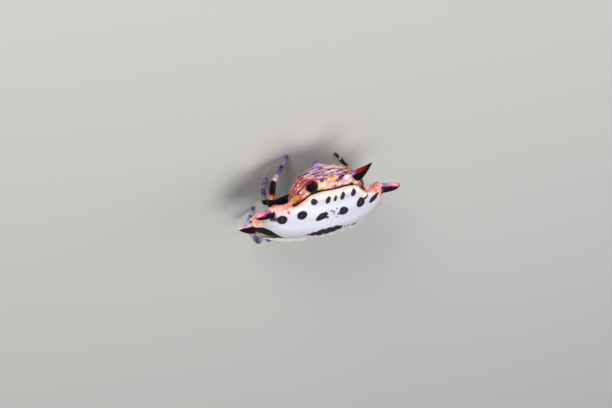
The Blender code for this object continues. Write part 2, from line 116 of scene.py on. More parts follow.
# Sigilla, the dark pits, those of the front crest last: x, y, half width, half length, turn, depth
SIGILLA = (
    (-4.38, -0.3, 0.42, 0.6, 8, 0.06),
    (4.2, -0.08, 0.46, 0.52, 14, 0.06),
    (4.42, 0.34, 0.26, 0.22, -30, 0.04),
    (-2.87, 0.38, 0.42, 0.56, 0, 0.06),
    (2.66, 0.4, 0.41, 0.74, 24, 0.06),
    (-2.0, 1.76, 0.29, 0.28, 0, 0.04),
    (1.68, 1.86, 0.26, 0.3, -12, 0.04),
    (-0.76, 1.8, 0.22, 0.34, -22, 0.04),
    (0.61, 1.88, 0.22, 0.34, -14, 0.04),
    (-0.08, 1.84, 0.14, 0.27, -8, 0.03),
    (-1.06, 0.04, 0.42, 0.64, -32, 0.065),
    (0.96, 0.16, 0.42, 0.64, 32, 0.065),
    (-0.56, -0.14, 0.18, 0.14, -20, 0.025),
    (0.5, -0.02, 0.1, 0.18, 30, 0.025),
    (3.06, 0.74, 0.18, 0.18, 20, 0.025),
    (-1.66, -2.44, 0.22, 0.13, 0, 0.02),
    (-1.22, -2.4, 0.36, 0.3, 4, 0.03),
    (-0.6, -2.32, 0.46, 0.5, 0, 0.03),
    (0.08, -2.28, 0.48, 0.54, -4, 0.03),
    (0.72, -2.26, 0.42, 0.5, 0, 0.03),
    (1.22, -2.28, 0.28, 0.34, 4, 0.025),
    (1.75, -2.42, 0.1, 0.1, 0, 0.02),
    (2.1, -2.46, 0.1, 0.09, 0, 0.02),
    (2.9, -2.85, 0.3, 0.16, -4, 0.025),
)
# The long black lens by the root of each front spine, and the thin line on from it: x, y, half width
LENSES = (
    (
        ((6.2, -2.62, 0.12), (5.6, -2.9, 0.28), (4.95, -3.12, 0.24), (4.4, -3.24, 0.14), (3.85, -3.3, 0.04)),
        ((3.85, -3.3, 0.04), (3.0, -3.2, 0.035)),
    ),
    (
        (
            (-6.5, -2.3, 0.2), (-6.02, -2.02, 0.28), (-5.55, -2.02, 0.4), (-5.05, -2.28, 0.36),
            (-4.45, -2.6, 0.22), (-3.85, -2.8, 0.06),
        ),
        (
            (-5.6, -2.95, 0.08), (-5.0, -2.96, 0.12), (-4.3, -2.9, 0.1), (-3.6, -2.86, 0.05),
            (-2.9, -2.78, 0.03), (-2.3, -2.64, 0.03), (-1.8, -2.45, 0.06),
        ),
    ),
)
# Small tan dots in the middle: x, y, radius
DOTS = (
    (-0.32, 0.64, 0.085), (-0.1, 0.5, 0.07), (0.19, 0.78, 0.07), (-0.02, 0.34, 0.075), (0.1, 0.52, 0.04),
    (-0.42, -0.36, 0.05), (0.38, -0.37, 0.05), (0.05, 0.1, 0.035), (0.0, -0.8, 0.035),
)

PORCELAIN = (228, 228, 239)
PORCELAIN_COOL = (222, 226, 244)
CREAM = (250, 226, 186)
PALE_CREAM = (236, 230, 214)
IVORY_PAINTED_SHADE = (196, 186, 168)
# Painted shade on the shield's white face, at its outer front corners
SALMON = (232, 128, 104)
PINK = (244, 160, 160)
GOLD = (232, 164, 52)
LILAC = (176, 140, 206)
PURPLE = (112, 74, 158)
MAROON = (92, 22, 26)
INK = (32, 20, 42)
BLACK = (14, 11, 16)
BROWN = (70, 34, 24)
TAN = (178, 134, 74)
OLIVE = (122, 104, 48)
SHELL_DARK = (38, 26, 24)
SHELL_BROWN = (84, 48, 34)
HAIR_PALE = (214, 206, 196)

# Blotches of the underside's rear wall: x, height, half width, half height, colour, strength
BLOTCHES = (
    (-0.72, 4.27, 0.4, 0.17, (96, 22, 48), 1.0),
    (-0.62, 4.33, 0.13, 0.07, (226, 120, 160), 0.9),
    (0.12, 4.36, 0.46, 0.13, (240, 176, 40), 1.0),
    (0.1, 4.5, 0.8, 0.05, (160, 136, 206), 0.95),
    (1.2, 4.58, 0.6, 0.06, (196, 140, 206), 0.95),
    (1.1, 4.24, 0.24, 0.12, (48, 18, 30), 1.0),
    (0.84, 4.36, 0.24, 0.1, (62, 26, 22), 1.0),
    (0.58, 4.47, 0.2, 0.07, (76, 34, 40), 0.9),
    # A painted highlight: a white-pink glint
    (1.55, 4.36, 0.3, 0.12, (255, 226, 232), 0.9),
    (2.08, 4.5, 0.3, 0.3, (252, 220, 196), 0.95),
    (2.17, 4.54, 0.07, 0.07, (120, 44, 40), 1.0),
    (-0.15, 4.66, 0.5, 0.1, (240, 176, 150), 0.5),
    (-1.0, 4.86, 0.06, 0.16, MAROON, 0.95),
    (0.32, 4.78, 0.07, 0.12, MAROON, 0.8),
    (-1.25, 4.7, 0.2, 0.2, (250, 216, 176), 0.8),
    (-0.75, 4.5, 0.3, 0.12, (252, 216, 160), 0.8),
    (-0.5, 3.1, 0.9, 0.1, LILAC, 0.9),
    (-0.75, 3.36, 0.8, 0.06, (60, 34, 84), 1.0),
    (-0.3, 3.62, 0.8, 0.05, (110, 70, 140), 0.9),
    (0.3, 3.5, 0.8, 0.08, (255, 222, 200), 0.9),
    (0.5, 2.86, 0.6, 0.1, (252, 216, 196), 0.9),
    (0.6, 3.2, 0.4, 0.07, (120, 40, 60), 0.8),
    (1.3, 3.4, 0.4, 0.08, (120, 60, 120), 0.8),
    (-0.4, 2.62, 0.8, 0.1, PURPLE, 0.9),
    (-1.75, 2.95, 0.7, 0.11, (44, 30, 70), 1.0),
    (-1.3, 2.62, 0.6, 0.12, (58, 40, 92), 0.9),
    # Painted highlights: two pale lilac glints
    (-1.5, 3.2, 0.5, 0.09, (196, 184, 226), 0.9),
    (-1.0, 2.85, 0.5, 0.07, (206, 196, 232), 0.9),
    (-0.8, 3.0, 0.5, 0.05, (40, 28, 66), 0.9),
)

# Prosoma: rings along the body as y, half width, bottom and top
PROSOMA_RINGS = (
    (-1.42, 0.4, 2.7, 3.35),
    (-1.65, 0.95, 2.3, 3.6),
    (-2.1, 1.35, 2.0, 3.75),
    (-2.7, 1.55, 1.9, 3.9),
    (-3.3, 1.5, 1.88, 4.2),
    (-3.8, 1.3, 1.95, 4.5),
    (-4.3, 1.12, 2.1, 4.58),
    (-4.7, 1.02, 2.4, 4.4),
    (-4.95, 0.85, 2.75, 4.0),
)
PROSOMA_SQUARENESS = 2.3
PEDICEL_PATH = ((0.0, -2.0, 2.98), (0.0, -0.4, 3.45))
PEDICEL_RADII = (0.3, 0.26, 0.3)
COXA_GATHER = -3.1
COXA_RISE = 0.25
COXA_RADII = (0.37, 0.37, 0.33)

CHELICERA_PATH = ((0.4, -4.62, 3.05), (0.43, -5.1, 2.75), (0.41, -5.12, 2.1), (0.36, -4.95, 1.55))
CHELICERA_RADII = (0.36, 0.42, 0.36, 0.22)
FANG_PATH = ((0.36, -4.98, 1.62), (0.3, -4.9, 1.36), (0.16, -4.72, 1.24))
FANG_RADII = (0.13, 0.1, 0.03)
PALP_PATH = ((0.9, -4.3, 2.6), (1.1, -5.0, 2.75), (1.08, -5.65, 2.7), (0.98, -5.95, 2.1), (0.88, -6.0, 1.6))
PALP_RADII = ((0.2, 0.24, 0.23), (0.24, 0.25, 0.24), (0.22, 0.24, 0.22), (0.19, 0.22, 0.2, 0.1))

# Bands along a segment are its colour stops: share of the length, then red, green and blue
JAW_BANDS = ((0.0, *SHELL_BROWN), (0.4, 70, 36, 26), (1.0, *SHELL_DARK))
FANG_BANDS = ((0.0, 90, 30, 16), (1.0, *BLACK))
CLAW_BANDS = ((0.0, *INK), (1.0, *BLACK))
PALP_BANDS = ((0.0, 190, 120, 66), (0.4, 150, 84, 46), (0.6, *SHELL_DARK))

# Legs: end of the coxa, knee, end of the tibia, and the foot on the ground
LEG_JOINTS = {
    "leg_right_1": ((-1.35, -4.35, 2.35), (-2.9, -7.0, 2.6), (-2.3, -8.3, 1.3), (-0.7, -6.9)),
    "leg_right_2": ((-1.85, -3.45, 2.3), (-4.55, -5.7, 3.4), (-4.65, -6.35, 1.3), (-3.6, -5.4)),
    "leg_right_3": ((-1.75, -2.5, 2.2), (-4.23, -1.94, 2.16), (-4.5, -0.6, 1.75), (-3.34, -1.46)),
    "leg_right_4": ((-1.35, -1.55, 2.2), (-4.28, -1.07, 3.06), (-4.15, 0.9, 2.31), (-1.9, 1.2)),
    "leg_left_1": ((1.35, -4.35, 2.35), (2.9, -6.9, 2.9), (2.7, -8.2, 1.5), (1.5, -7.0)),
    "leg_left_2": ((1.85, -3.45, 2.3), (4.7, -4.9, 3.2), (4.8, -6.5, 2.0), (3.7, -5.6)),
    "leg_left_3": ((1.75, -2.5, 2.2), (4.0, -3.9, 2.3), (3.9, -2.55, 1.6), (2.3, -1.4)),
    "leg_left_4": ((1.35, -1.55, 2.2), (4.2, -3.1, 2.9), (4.44, -1.12, 2.46), (2.89, 0.05)),
}
FEMUR_BOW = 0.1
FOOT_BEND_SHARE = 0.55
FOOT_BEND_RISE = 0.06
PATELLA_SHARE = 0.22
METATARSUS_SHARE = 0.58
LEG_SIDES = 28
SEGMENT_RADII = {
    "femur": (0.2, 0.26, 0.3, 0.3, 0.28, 0.25),
    "patella": (0.26, 0.27, 0.25),
    "tibia": (0.21, 0.25, 0.265, 0.26, 0.23),
    "metatarsus": (0.19, 0.2, 0.19, 0.175, 0.165),
    "tarsus": (0.145, 0.15, 0.14, 0.12, 0.1),
}
# The lilac, blue and purple of the metatarsus and tarsus are partly painted sheen, a bluish glint over their
# own dark and pale rings
LEG_BANDS = {
    "femur": ((0.0, 176, 104, 52), (0.2, 140, 76, 40), (0.3, *BLACK)),
    "patella": ((0.0, *BLACK),),
    "tibia": (
        (0.0, 236, 190, 130), (0.18, 236, 160, 100), (0.3, 220, 128, 80), (0.38, 110, 36, 24), (0.46, *BLACK),
    ),
    "metatarsus": (
        (0.0, *LILAC), (0.1, 206, 180, 186), (0.4, 184, 156, 170), (0.55, 112, 90, 144), (0.85, 68, 60, 116),
        (1.0, 28, 24, 58),
    ),
    "tarsus": ((0.0, 36, 30, 72), (0.12, 166, 136, 158), (0.5, 136, 114, 158), (0.75, *PURPLE), (1.0, *INK)),
}
# The pale lilac and blue here are partly painted sheen, a bluish glint over legs that are dark with orange
# bands
LILAC_BANDS = {
    "femur": (
        (0.0, 176, 104, 52), (0.25, 60, 36, 40), (0.45, *INK), (0.62, 128, 116, 166), (0.8, 176, 166, 212),
        (1.0, 150, 140, 190),
    ),
    "patella": ((0.0, 112, 98, 146), (0.5, 158, 146, 196), (1.0, 140, 128, 180)),
    "tibia": (
        (0.0, 204, 190, 212), (0.3, 176, 166, 208), (0.62, 132, 122, 176), (0.8, 84, 74, 128),
        (1.0, 70, 60, 110),
    ),
    "metatarsus": ((0.0, 210, 200, 220), (0.45, 166, 158, 206), (0.8, 120, 112, 166), (1.0, 66, 58, 104)),
    "tarsus": ((0.0, 190, 180, 208), (0.5, 146, 138, 190), (0.8, 66, 56, 96), (1.0, *INK)),
}
# The blue and lilac here are partly painted sheen as well
PINK_BANDS = {
    "femur": LEG_BANDS["femur"],
    "patella": ((0.0, *BLACK), (1.0, *INK)),
    "tibia": ((0.0, 186, 162, 168), (0.4, 170, 142, 158), (0.75, 56, 54, 98), (1.0, 112, 104, 156)),
    "metatarsus": ((0.0, 158, 144, 172), (0.45, 108, 106, 160), (1.0, 64, 70, 126)),
    "tarsus": ((0.0, 170, 160, 206), (0.6, 120, 120, 190), (1.0, *INK)),
}
# The left fourth leg: the same leg as the right one, painted as in shade and warm light, in tan and black
# without the bluish painted sheen
TAN_BANDS = {
    **LEG_BANDS,
    "tibia": ((0.0, 214, 146, 96), (0.4, 206, 132, 84), (0.6, *BLACK)),
    "metatarsus": ((0.4, *BLACK), (0.48, 216, 150, 110), (0.88, 206, 138, 98), (0.95, *BLACK)),
    "tarsus": ((0.42, *BLACK), (0.5, 196, 136, 104), (0.64, 186, 128, 98), (0.72, *BLACK)),
}
# The size and bands of each leg's segments, by the end of its name
LEG_LOOKS = {
    "1": (0.88, LILAC_BANDS), "2": (0.88, LILAC_BANDS), "3": (0.78, PINK_BANDS),
    "right_4": (1.0, LEG_BANDS), "left_4": (1.0, TAN_BANDS),
}

# Hairs of the skins: count, length, width, lie, colour and its share, middle of the unwrap, seed, curl
COATS = {
    "coat_underside": (2600, 0.14, 0.008, (0, 0.2, -1), HAIR_PALE, 0.55, (0, 0.5, 4.0), 201, 0.6),
    "coat_rim": (900, 0.3, 0.007, (0, -1, -0.3), HAIR_PALE, 0.9, (0, -0.35, 5.5), 202, 0.35),
    "coat_shield": (500, 0.08, 0.005, (0, 1, 0), HAIR_PALE, 0.7, (0, -0.35, 5.5), 203, 0.6),
    "coat_carapace": (5200, 0.2, 0.008, (0, -1, 0.1), (206, 198, 186), 0.85, (0, -3.2, 3.0), 204, 0.75),
    "coat_sternum": (1400, 0.16, 0.008, (0, 1, 0), (180, 160, 130), 0.6, (0, -3.2, 3.0), 205, 0.7),
}
# Hairs of the legs and mouth: count on each limb, length, width, seed and share of the pale colour
LIMB_COATS = {
    "coat_legs_left": (950, 0.17, 0.007, 206, 0.35),
    "coat_legs_right": (950, 0.17, 0.007, 207, 0.35),
    "coat_mouth": (420, 0.16, 0.007, 208, 0.6),
}
# Rings of a hair: share of its length, and of its width
HAIR_RINGS = ((-0.06, 1.0), (0.35, 0.8), (0.7, 0.5), (1.0, 0.0))
BAKE_PATCH = 0.003

# Roughness, before the fine grain adds to it
PLAIN_GLOSS = 0.3
HAIR_GLOSS = 0.42
EYE_GLOSS = 0.04
# Least height above the ground
LEG_CLEARANCE = 0.001
HAIR_CLEARANCE = 0.002

# Remeshing: size of a voxel, and how many times the skin is relaxed
ABDOMEN_MESH = (0.038, 5)
PROSOMA_MESH = (0.06, 4)
PROSOMA_SIDES = 64
EYE_SIDES = 28
# A spine's colours reach this far from its line, in radii. FAR is further than any point lies.
SPINE_REACH = 1.7
FAR = 9.0

FLOOR_REACH = 1.2
FLOOR_TINT = (196, 196, 193)
FLOOR_ROUGHNESS = 0.85

# View of the photo. Its middle of the shield, and the middle of its frame, are in its pixels.
VIEW_AZIMUTH = math.radians(28)
VIEW_ELEVATION = math.radians(30)
VIEW_ROLL = math.radians(27.6)
SHIELD_MIDDLE = 6.06
PIXEL = 0.084 * MM
LENS_MM = 150
SENSOR_MM = 36
MIDDLE_AT = (332.9, 214.0)
FRAME_SIZE = (612, 408)
# Lights: place, size, watts and colour. They aim at the height LIGHT_AIM.
LIGHTS = {
    "overhead": ((0.03, 0.05, 0.22), 0.14, 0.35, (1.0, 0.99, 0.97)),
    "rear": ((-0.1, 0.17, 0.05), 0.05, 0.32, (1.0, 0.96, 0.91)),
    "left": ((0.18, 0.06, 0.08), 0.1, 0.08, (0.94, 0.97, 1.0)),
}
LIGHT_AIM = 0.003
SKY_TINT = (0.86, 0.9, 1.0, 1)
SKY_STRENGTH = 0.22

shield_low, shield_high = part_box("abdomen_shield")
SHIFT = Vector(((shield_low.x + shield_high.x) / 2, shield_high.y - SHIELD_REAR_EDGE * MM, 0.0))


def to_world(points):
    return np.asarray(points, float) * MM + np.array(SHIFT)


def linear(tint):
    """The linear values that shaders read, for a colour in shares of 255. An array is linear already."""
    if isinstance(tint, np.ndarray):
        return tint
    shares = np.array(tint) / 255
    return np.where(shares <= 0.04045, shares / 12.92, ((shares + 0.055) / 1.055) ** 2.4)


def mix(first, second, share):
    """Blends colours or rows of colours by one share, or by a share for each point."""
    share = np.asarray(share)[..., None]
    return linear(first) * (1 - share) + linear(second) * share


def layered(paint, *layers):
    """The paint with each layer, a colour and its share, laid over it in turn."""
    for tint, share in layers:
        paint = mix(paint, tint, share)
    return paint


def smooth(low, high, values):
    """0 below low, 1 above high, and a soft step between. High may be the lower one."""
    share = np.clip((values - low) / (high - low), 0, 1)
    return share * share * (3 - 2 * share)


def hump(values, middle, width):
    """1 at the middle, and falling away like a bell on both sides of it."""
    return np.exp(-(((values - middle) / width) ** 2))


def unit(vectors):
    return vectors / np.linalg.norm(vectors, axis=-1, keepdims=True)


def ripple(points, size, seed, octaves=2):
    """Smooth noise from about -1 to 1 with features of about this size, from a seeded sum of waves."""
    rng = np.random.default_rng(seed)
    total = np.zeros(len(points))
    for octave in range(octaves):
        waves = rng.normal(size=(9, 3))
        scale = (2 * math.pi / size * 2**octave) * rng.uniform(0.6, 1.2, (9, 1))
        waves *= scale / np.linalg.norm(waves, axis=1)[:, None]
        phases = rng.uniform(0, 2 * math.pi, 9)
        total += 0.5**octave * np.sin(points @ waves.T + phases).sum(axis=1) / 4.2
    return np.clip(total / 1.4, -1, 1)


def smooth_curve(points, steps, closed=False):
    """Points on a smooth curve through the given ones, with this many steps between each pair."""
    points = np.array(points, float)
    if closed:
        keys = np.concatenate([points[-1:], points, points[:2]])
    else:
        keys = np.concatenate([2 * points[:1] - points[1:2], points, 2 * points[-1:] - points[-2:-1]])
    t = (np.arange(steps) / steps)[:, None]
    found = []
    for before, start, end, after in zip(keys, keys[1:], keys[2:], keys[3:]):
        bend = (2 * before - 5 * start + 4 * end - after) * t**2
        twist = (3 * start - before - 3 * end + after) * t**3
        found.append(0.5 * (2 * start + (end - before) * t + bend + twist))
    if not closed:
        found.append(points[-1:])
    return np.concatenate(found)


def along(values, count):
    """A smooth run of this many numbers through the given ones."""
    curve = smooth_curve(np.asarray(values, float)[:, None], 16)[:, 0]
    return np.interp(np.linspace(0, 1, count), np.linspace(0, 1, len(curve)), curve)


def mirrored(points, side):
    """A point or rows of points, across the middle line where the side is -1."""
    return np.array(points) * (side, 1, 1)


def side_name(name, side):
    return f"{name}_{'left' if side > 0 else 'right'}"


def around(count):
    """Cosines and sines of this many directions round a circle."""
    turns = 2 * math.pi * np.arange(count) / count
    return np.cos(turns), np.sin(turns)


def squared(c, s, half_width, half_depth, squareness):
    """How far a rounded square reaches in the directions with these cosines and sines."""
    return (np.abs(c / half_width) ** squareness + np.abs(s / half_depth) ** squareness) ** (-1 / squareness)


def loft(rings):
    """Vertices and faces of a closed skin over rings of equally many points."""
    rings = np.asarray(rings)
    levels, sides = rings.shape[:2]
    points = np.concatenate([rings.reshape(-1, 3), rings[0].mean(axis=0)[None], rings[-1].mean(axis=0)[None]])
    ring = [(i, (i + 1) % sides) for i in range(sides)]
    starts = range(0, (levels - 1) * sides, sides)
    faces = [(a + i, a + j, a + sides + j, a + sides + i) for a in starts for i, j in ring]
    last = (levels - 1) * sides
    for i, j in ring:
        faces += [(j, i, levels * sides), (last + i, last + j, levels * sides + 1)]
    return points, faces


def tube_rings(centres, widths, sides):
    """Rings of these widths round a line."""
    centres = np.asarray(centres, float)
    headings = unit(np.gradient(centres, axis=0))
    steep = abs(headings[0][2]) > 0.9
    across = np.cross(headings[0], (1.0, 0.0, 0.0) if steep else (0.0, 0.0, 1.0))
    c, s = around(sides)
    rings = []
    for centre, heading, width in zip(centres, headings, widths):
        across = unit(across - heading * across.dot(heading))
        up = np.cross(across, heading)
        rings.append(centre + width * (c[:, None] * across + s[:, None] * up))
    return np.array(rings)


def rounded_tube(path, radii, sides, steps, cap=4):
    """A tube with domed ends along a smooth path. Returns its rings and each ring's share of the length."""
    centres = smooth_curve(path, steps)
    widths = along(radii, len(centres))
    start, end = unit(centres[0] - centres[1]), unit(centres[-1] - centres[-2])
    angles = np.linspace(0, math.pi / 2, cap + 1)[1:] * 0.96
    before = [centres[0] + start * widths[0] * math.sin(a) for a in angles][::-1]
    after = [centres[-1] + end * widths[-1] * math.sin(a) for a in angles]
    thin = np.cos(angles)
    centres = np.concatenate([before, centres, after])
    widths = np.concatenate([widths[0] * thin[::-1], widths, widths[-1] * thin])
    shares = np.clip((np.arange(len(centres)) - cap) / (len(centres) - 1 - 2 * cap), 0, 1)
    return tube_rings(centres, widths, sides), shares


def tube(path, radii, sides, steps):
    return loft(rounded_tube(path, radii, sides, steps)[0])


def relaxed(points, polygons, passes):
    """Moves each point halfway to the mean of its neighbours, this many times."""
    ends = np.concatenate([polygons[:, (k, (k + 1) % 4)] for k in range(4)])
    first, second = np.unique(np.sort(ends, axis=1), axis=0).T
    count = len(points)
    degree = np.bincount(np.concatenate([first, second]), minlength=count)[:, None]
    for _ in range(passes):
        total = np.zeros_like(points)
        for axis in range(3):
            total[:, axis] = np.bincount(first, points[second, axis], count)
            total[:, axis] += np.bincount(second, points[first, axis], count)
        points = points + 0.5 * (total / np.maximum(degree, 1) - points)
    return points


def normals_of(points, polygons):
    """Unit normals at the vertices of four-sided faces."""
    a, b, c, d = (points[polygons[:, k]] for k in range(4))
    square = np.cross(c - a, d - b)
    normals = np.zeros_like(points)
    for axis in range(3):
        for corner in range(4):
            normals[:, axis] += np.bincount(polygons[:, corner], square[:, axis], len(points))
    return normals / np.maximum(np.linalg.norm(normals, axis=1)[:, None], 1e-12)


def add_object(name, data):
    thing = bpy.data.objects.new(name, data)
    bpy.context.scene.collection.objects.link(thing)
    return thing


def one_skin(parts, voxel, passes):
    """One closed skin over overlapping closed parts: points in millimetres and four-sided faces."""
    faces, start = [], 0
    for points, part_faces in parts:
        faces += [tuple(start + i for i in face) for face in part_faces]
        start += len(points)
    mesh = bpy.data.meshes.new("parts")
    mesh.from_pydata(np.concatenate([part[0] for part in parts]).tolist(), [], faces)
    thing = add_object("parts", mesh)
    skin = thing.modifiers.new("skin", "REMESH")
    skin.mode = "VOXEL"
    skin.voxel_size = voxel
    result = bpy.data.meshes.new_from_object(thing.evaluated_get(bpy.context.evaluated_depsgraph_get()))
    found = np.empty(len(result.vertices) * 3)
    result.vertices.foreach_get("co", found)
    corners = np.empty(len(result.loops), int)
    result.loops.foreach_get("vertex_index", corners)
    bpy.data.objects.remove(thing)
    bpy.data.meshes.remove(mesh)
    bpy.data.meshes.remove(result)
    polygons = corners.reshape(-1, 4)
    return relaxed(found.reshape(-1, 3), polygons, passes), polygons


def new_piece(name, points, faces, paint, gloss=PLAIN_GLOSS, normals=None):
    """A smooth mesh object in the part's frame, with its painted colours and its roughness."""
    mesh = bpy.data.meshes.new(name)
    mesh.from_pydata(to_world(points).tolist(), [], faces if isinstance(faces, list) else faces.tolist())
    tints = np.column_stack([np.clip(paint, 0, 1), np.ones(len(points))])
    mesh.attributes.new("Paint", "FLOAT_COLOR", "POINT").data.foreach_set("color", tints.ravel())
    gloss = np.full(len(points), gloss, np.float32)
    mesh.attributes.new("Gloss", "FLOAT", "POINT").data.foreach_set("value", gloss)
    mesh.shade_smooth()
    if normals is not None:
        mesh.normals_split_custom_set_from_vertices(normals.tolist())
    return add_object(name, mesh)


# Materials


def set_sockets(tree, node, sockets):
    """Gives each named input a value, or a link where the value is an output of another node."""
    for name, value in sockets.items():
        if isinstance(value, bpy.types.NodeSocket):
            tree.links.new(value, node.inputs[name])
        else:
            node.inputs[name].default_value = value


def add_node(tree, kind, output, sockets, **settings):
    """Adds a node and returns one of its outputs."""
    node = tree.nodes.new("ShaderNode" + kind)
    for name, value in settings.items():
        setattr(node, name, value)
    set_sockets(tree, node, sockets)
    return node.outputs[output]


def new_material(name):
    material = bpy.data.materials.new(name)
    material.use_nodes = True
    return material, material.node_tree, material.node_tree.nodes["Principled BSDF"]


def surface(name, roughness, grain, mottle, bump, coat=0.0, specular=0.35):
    """Painted cuticle: the piece's own colours and gloss, broken by fine grain, with a fine relief."""
    material, tree, shader = new_material(name)
    place = add_node(tree, "TexCoord", "Object", {})
    painted = add_node(tree, "Attribute", "Color", {}, attribute_name="Paint")
    gloss = add_node(tree, "Attribute", "Fac", {}, attribute_name="Gloss")
    fine = add_node(tree, "TexNoise", "Fac", {"Vector": place, "Scale": grain, "Detail": 4})
    limits = {"From Min": 0.3, "From Max": 0.7, "To Min": 1 - mottle, "To Max": 1 + mottle}
    spread = add_node(tree, "MapRange", "Result", {"Value": fine, **limits})
    shade = add_node(tree, "VectorMath", "Vector", {0: painted, "Scale": spread}, operation="SCALE")
    pores = add_node(tree, "TexVoronoi", "Distance", {"Vector": place, "Scale": grain * 1.3})
    height = add_node(tree, "Math", "Value", {0: pores, 1: 0.5, 2: fine}, operation="MULTIPLY_ADD")
    relief = add_node(tree, "Bump", "Normal", {"Strength": bump, "Distance": 0.00002, "Height": height})
    rough = add_node(
        tree, "Math", "Value", {0: fine, 1: roughness, 2: gloss}, operation="MULTIPLY_ADD", use_clamp=True
    )
    set_sockets(tree, shader, {"Base Color": shade, "Normal": relief, "Roughness": rough})
    set_sockets(tree, shader, {"Coat Weight": coat, "Coat Roughness": 0.25, "Specular IOR Level": specular})
    return material


SHELL = surface("shield_shell", 0.1, 7000, 0.035, 0.12, coat=0.08, specular=0.28)
SOFT = surface("soft_skin", 0.16, 9000, 0.2, 0.6, coat=0.25)
HORN = surface("spine_horn", 0.16, 9000, 0.12, 0.3, specular=0.08)
CASE = surface("dark_case", 0.2, 11000, 0.25, 0.6, coat=0.1)
LIMB = surface("leg_shell", 0.15, 12000, 0.16, 0.4, specular=0.14)
EYE = surface("eye_glass", 0.02, 9000, 0.2, 0.02, coat=1.0)
HAIR = surface("hair", 0.2, 9000, 0.1, 0.1)


def finish_piece(piece, material, slot, *nodes):
    piece.data.materials.append(material)
    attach(piece, "root")
    if nodes:
        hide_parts(*nodes)


# Shape of the abdomen


def shield_top(x, y):
    """Height of the shield's upper face."""
    rear, front = np.maximum(y, 0), np.maximum(-y - SHIELD_FRONT_START, 0)
    return SHIELD_HEIGHT - SHIELD_SIDE_FALL * x**2 - SHIELD_REAR_FALL * rear**2 - SHIELD_FRONT_FALL * front**2


def shield_outline():
    """Points round the shield. Her right corner is a little fuller than her left one."""
    other = [(-x, y) for x, y in reversed(SHIELD_HALF_OUTLINE[1:-1])]
    dense = smooth_curve((*SHIELD_HALF_OUTLINE, *other), 40, closed=True)
    x, y = dense.T
    corner = smooth(-4.6, -5.7, x) * smooth(-2.6, -1.6, y) * smooth(0.3, -0.8, y)
    dense[:, 0] -= RIGHT_CORNER * corner
    dense[:, 1] -= RIGHT_FRONT * smooth(-1.5, -4.0, x) * smooth(-2.0, -3.0, y)
    steps = np.linalg.norm(np.diff(dense, axis=0, append=dense[:1]), axis=1)
    travelled = np.concatenate([[0.0], np.cumsum(steps)])
    wanted = np.linspace(0.0, travelled[-1], SHIELD_POINTS, endpoint=False)
    ends = np.vstack([dense, dense[:1]])
    return np.column_stack([np.interp(wanted, travelled, ends[:, k]) for k in (0, 1)])


OUTLINE = shield_outline() - SHIELD_CENTRE
OUTLINE_TURNS = np.arctan2(OUTLINE[:, 1], OUTLINE[:, 0])
OUTLINE_REACH = np.hypot(*OUTLINE.T)


def shield_ring(share, drop, inset=0.0):
    """The outline made smaller by a share and an inset, this far below the shield's face."""
    places = OUTLINE * share - unit(OUTLINE) * inset + SHIELD_CENTRE
    return np.column_stack([places, shield_top(*places.T) - drop])


def shield_shape():
    rings = [shield_ring(share, 0.0) for share in SHIELD_TOP_SHARES]
    for angle in np.linspace(0, math.pi / 2, 9):
        rings.append(shield_ring(1.0, SHIELD_RIM * (1 - math.cos(angle)), SHIELD_RIM * (1 - math.sin(angle))))
    rings.append(shield_ring(1.0, SHIELD_THICKNESS - 0.1))
    rings.append(shield_ring(1.0, SHIELD_THICKNESS - 0.03, 0.03))
    rings += [shield_ring(share, SHIELD_THICKNESS, 0.12) for share in (1.0, 0.6, 0.2)]
    return loft(rings)


def underside_shape():
    keys = [shield_ring(1.0, drop, inset) for drop, inset in UNDERSIDE_EDGE]
    c, s = np.cos(OUTLINE_TURNS), np.sin(OUTLINE_TURNS)
    for height, half_width, front, rear, squareness in UNDERSIDE_RINGS:
        reach = squared(c, s, half_width, (rear - front) / 2, squareness)
        x, y = c * reach, (front + rear) / 2 + s * reach
        keys.append(np.column_stack([x, y, np.minimum(height, shield_top(x, y) - UNDERSIDE_LID)]))
    body = np.stack([smooth_curve(line, 5) for line in np.stack(keys, axis=1)], axis=1)
    lid = [shield_ring(share, UNDERSIDE_EDGE[0][0]) for share in (0.3, 0.7)]
    return loft([*lid, *body])


def spine_line(name, side):
    """Centre line of a spine, in 60 steps, and its radius along it."""
    root, tip, radius, bow = (np.array(value) for value in SPINES[name, side])
    centres = smooth_curve((root, (root + tip) / 2 + bow, tip), 30)
    return centres, radius * along(SPINE_FORMS[name][0], len(centres))


def spine_shapes(name, side):
    """The spine and the collar of skin round its root."""
    centres, widths = spine_line(name, side)
    _, reach, radii, _ = SPINE_FORMS[name]
    part = centres[: int(reach * len(centres))]
    return [loft(tube_rings(centres, widths, 32)), loft(tube_rings(part, along(radii, len(part)), 32))]


def spinneret_shapes():
    """The cone's end and the six spinnerets on it."""
    x, y, height = CONE_TIP
    shapes = [tube(((x, y, height + 0.12), (x, y, height - 0.1)), (0.42, 0.34), 24, 4)]
    for across, lengthwise, size in SPINNERETS:
        foot = np.array((x + 0.2 * across, y + 0.2 * lengthwise, height - 0.05))
        tip = foot + np.array((-0.06 * across, -0.06 * lengthwise, -0.27 * size))
        shapes.append(tube((foot, tip), (0.15 * size, 0.13 * size, 0.08 * size), 16, 6))
    return shapes


def oval(x, y, middle_x, middle_y, half_width, half_length, turn=0):
    """Distance from the middle of a turned ellipse, as a share of its edge."""
    c, s = math.cos(math.radians(turn)), math.sin(math.radians(turn))
    u, v = c * (x - middle_x) + s * (y - middle_y), -s * (x - middle_x) + c * (y - middle_y)
    return np.hypot(u / half_width, v / half_length)


def band_share(x, y, line):
    """Distance from a line whose half width changes along it, as a share of that half width."""
    best = np.full(len(x), 1e9)
    dense = smooth_curve(line, 8)
    for (*a, wide), (*b, wide_end) in zip(dense, dense[1:]):
        d = np.subtract(b, a)
        t = np.clip(((x - a[0]) * d[0] + (y - a[1]) * d[1]) / (d @ d), 0, 1)
        away = np.hypot(x - a[0] - t * d[0], y - a[1] - t * d[1])
        best = np.minimum(best, away / (wide + t * (wide_end - wide)))
    return best


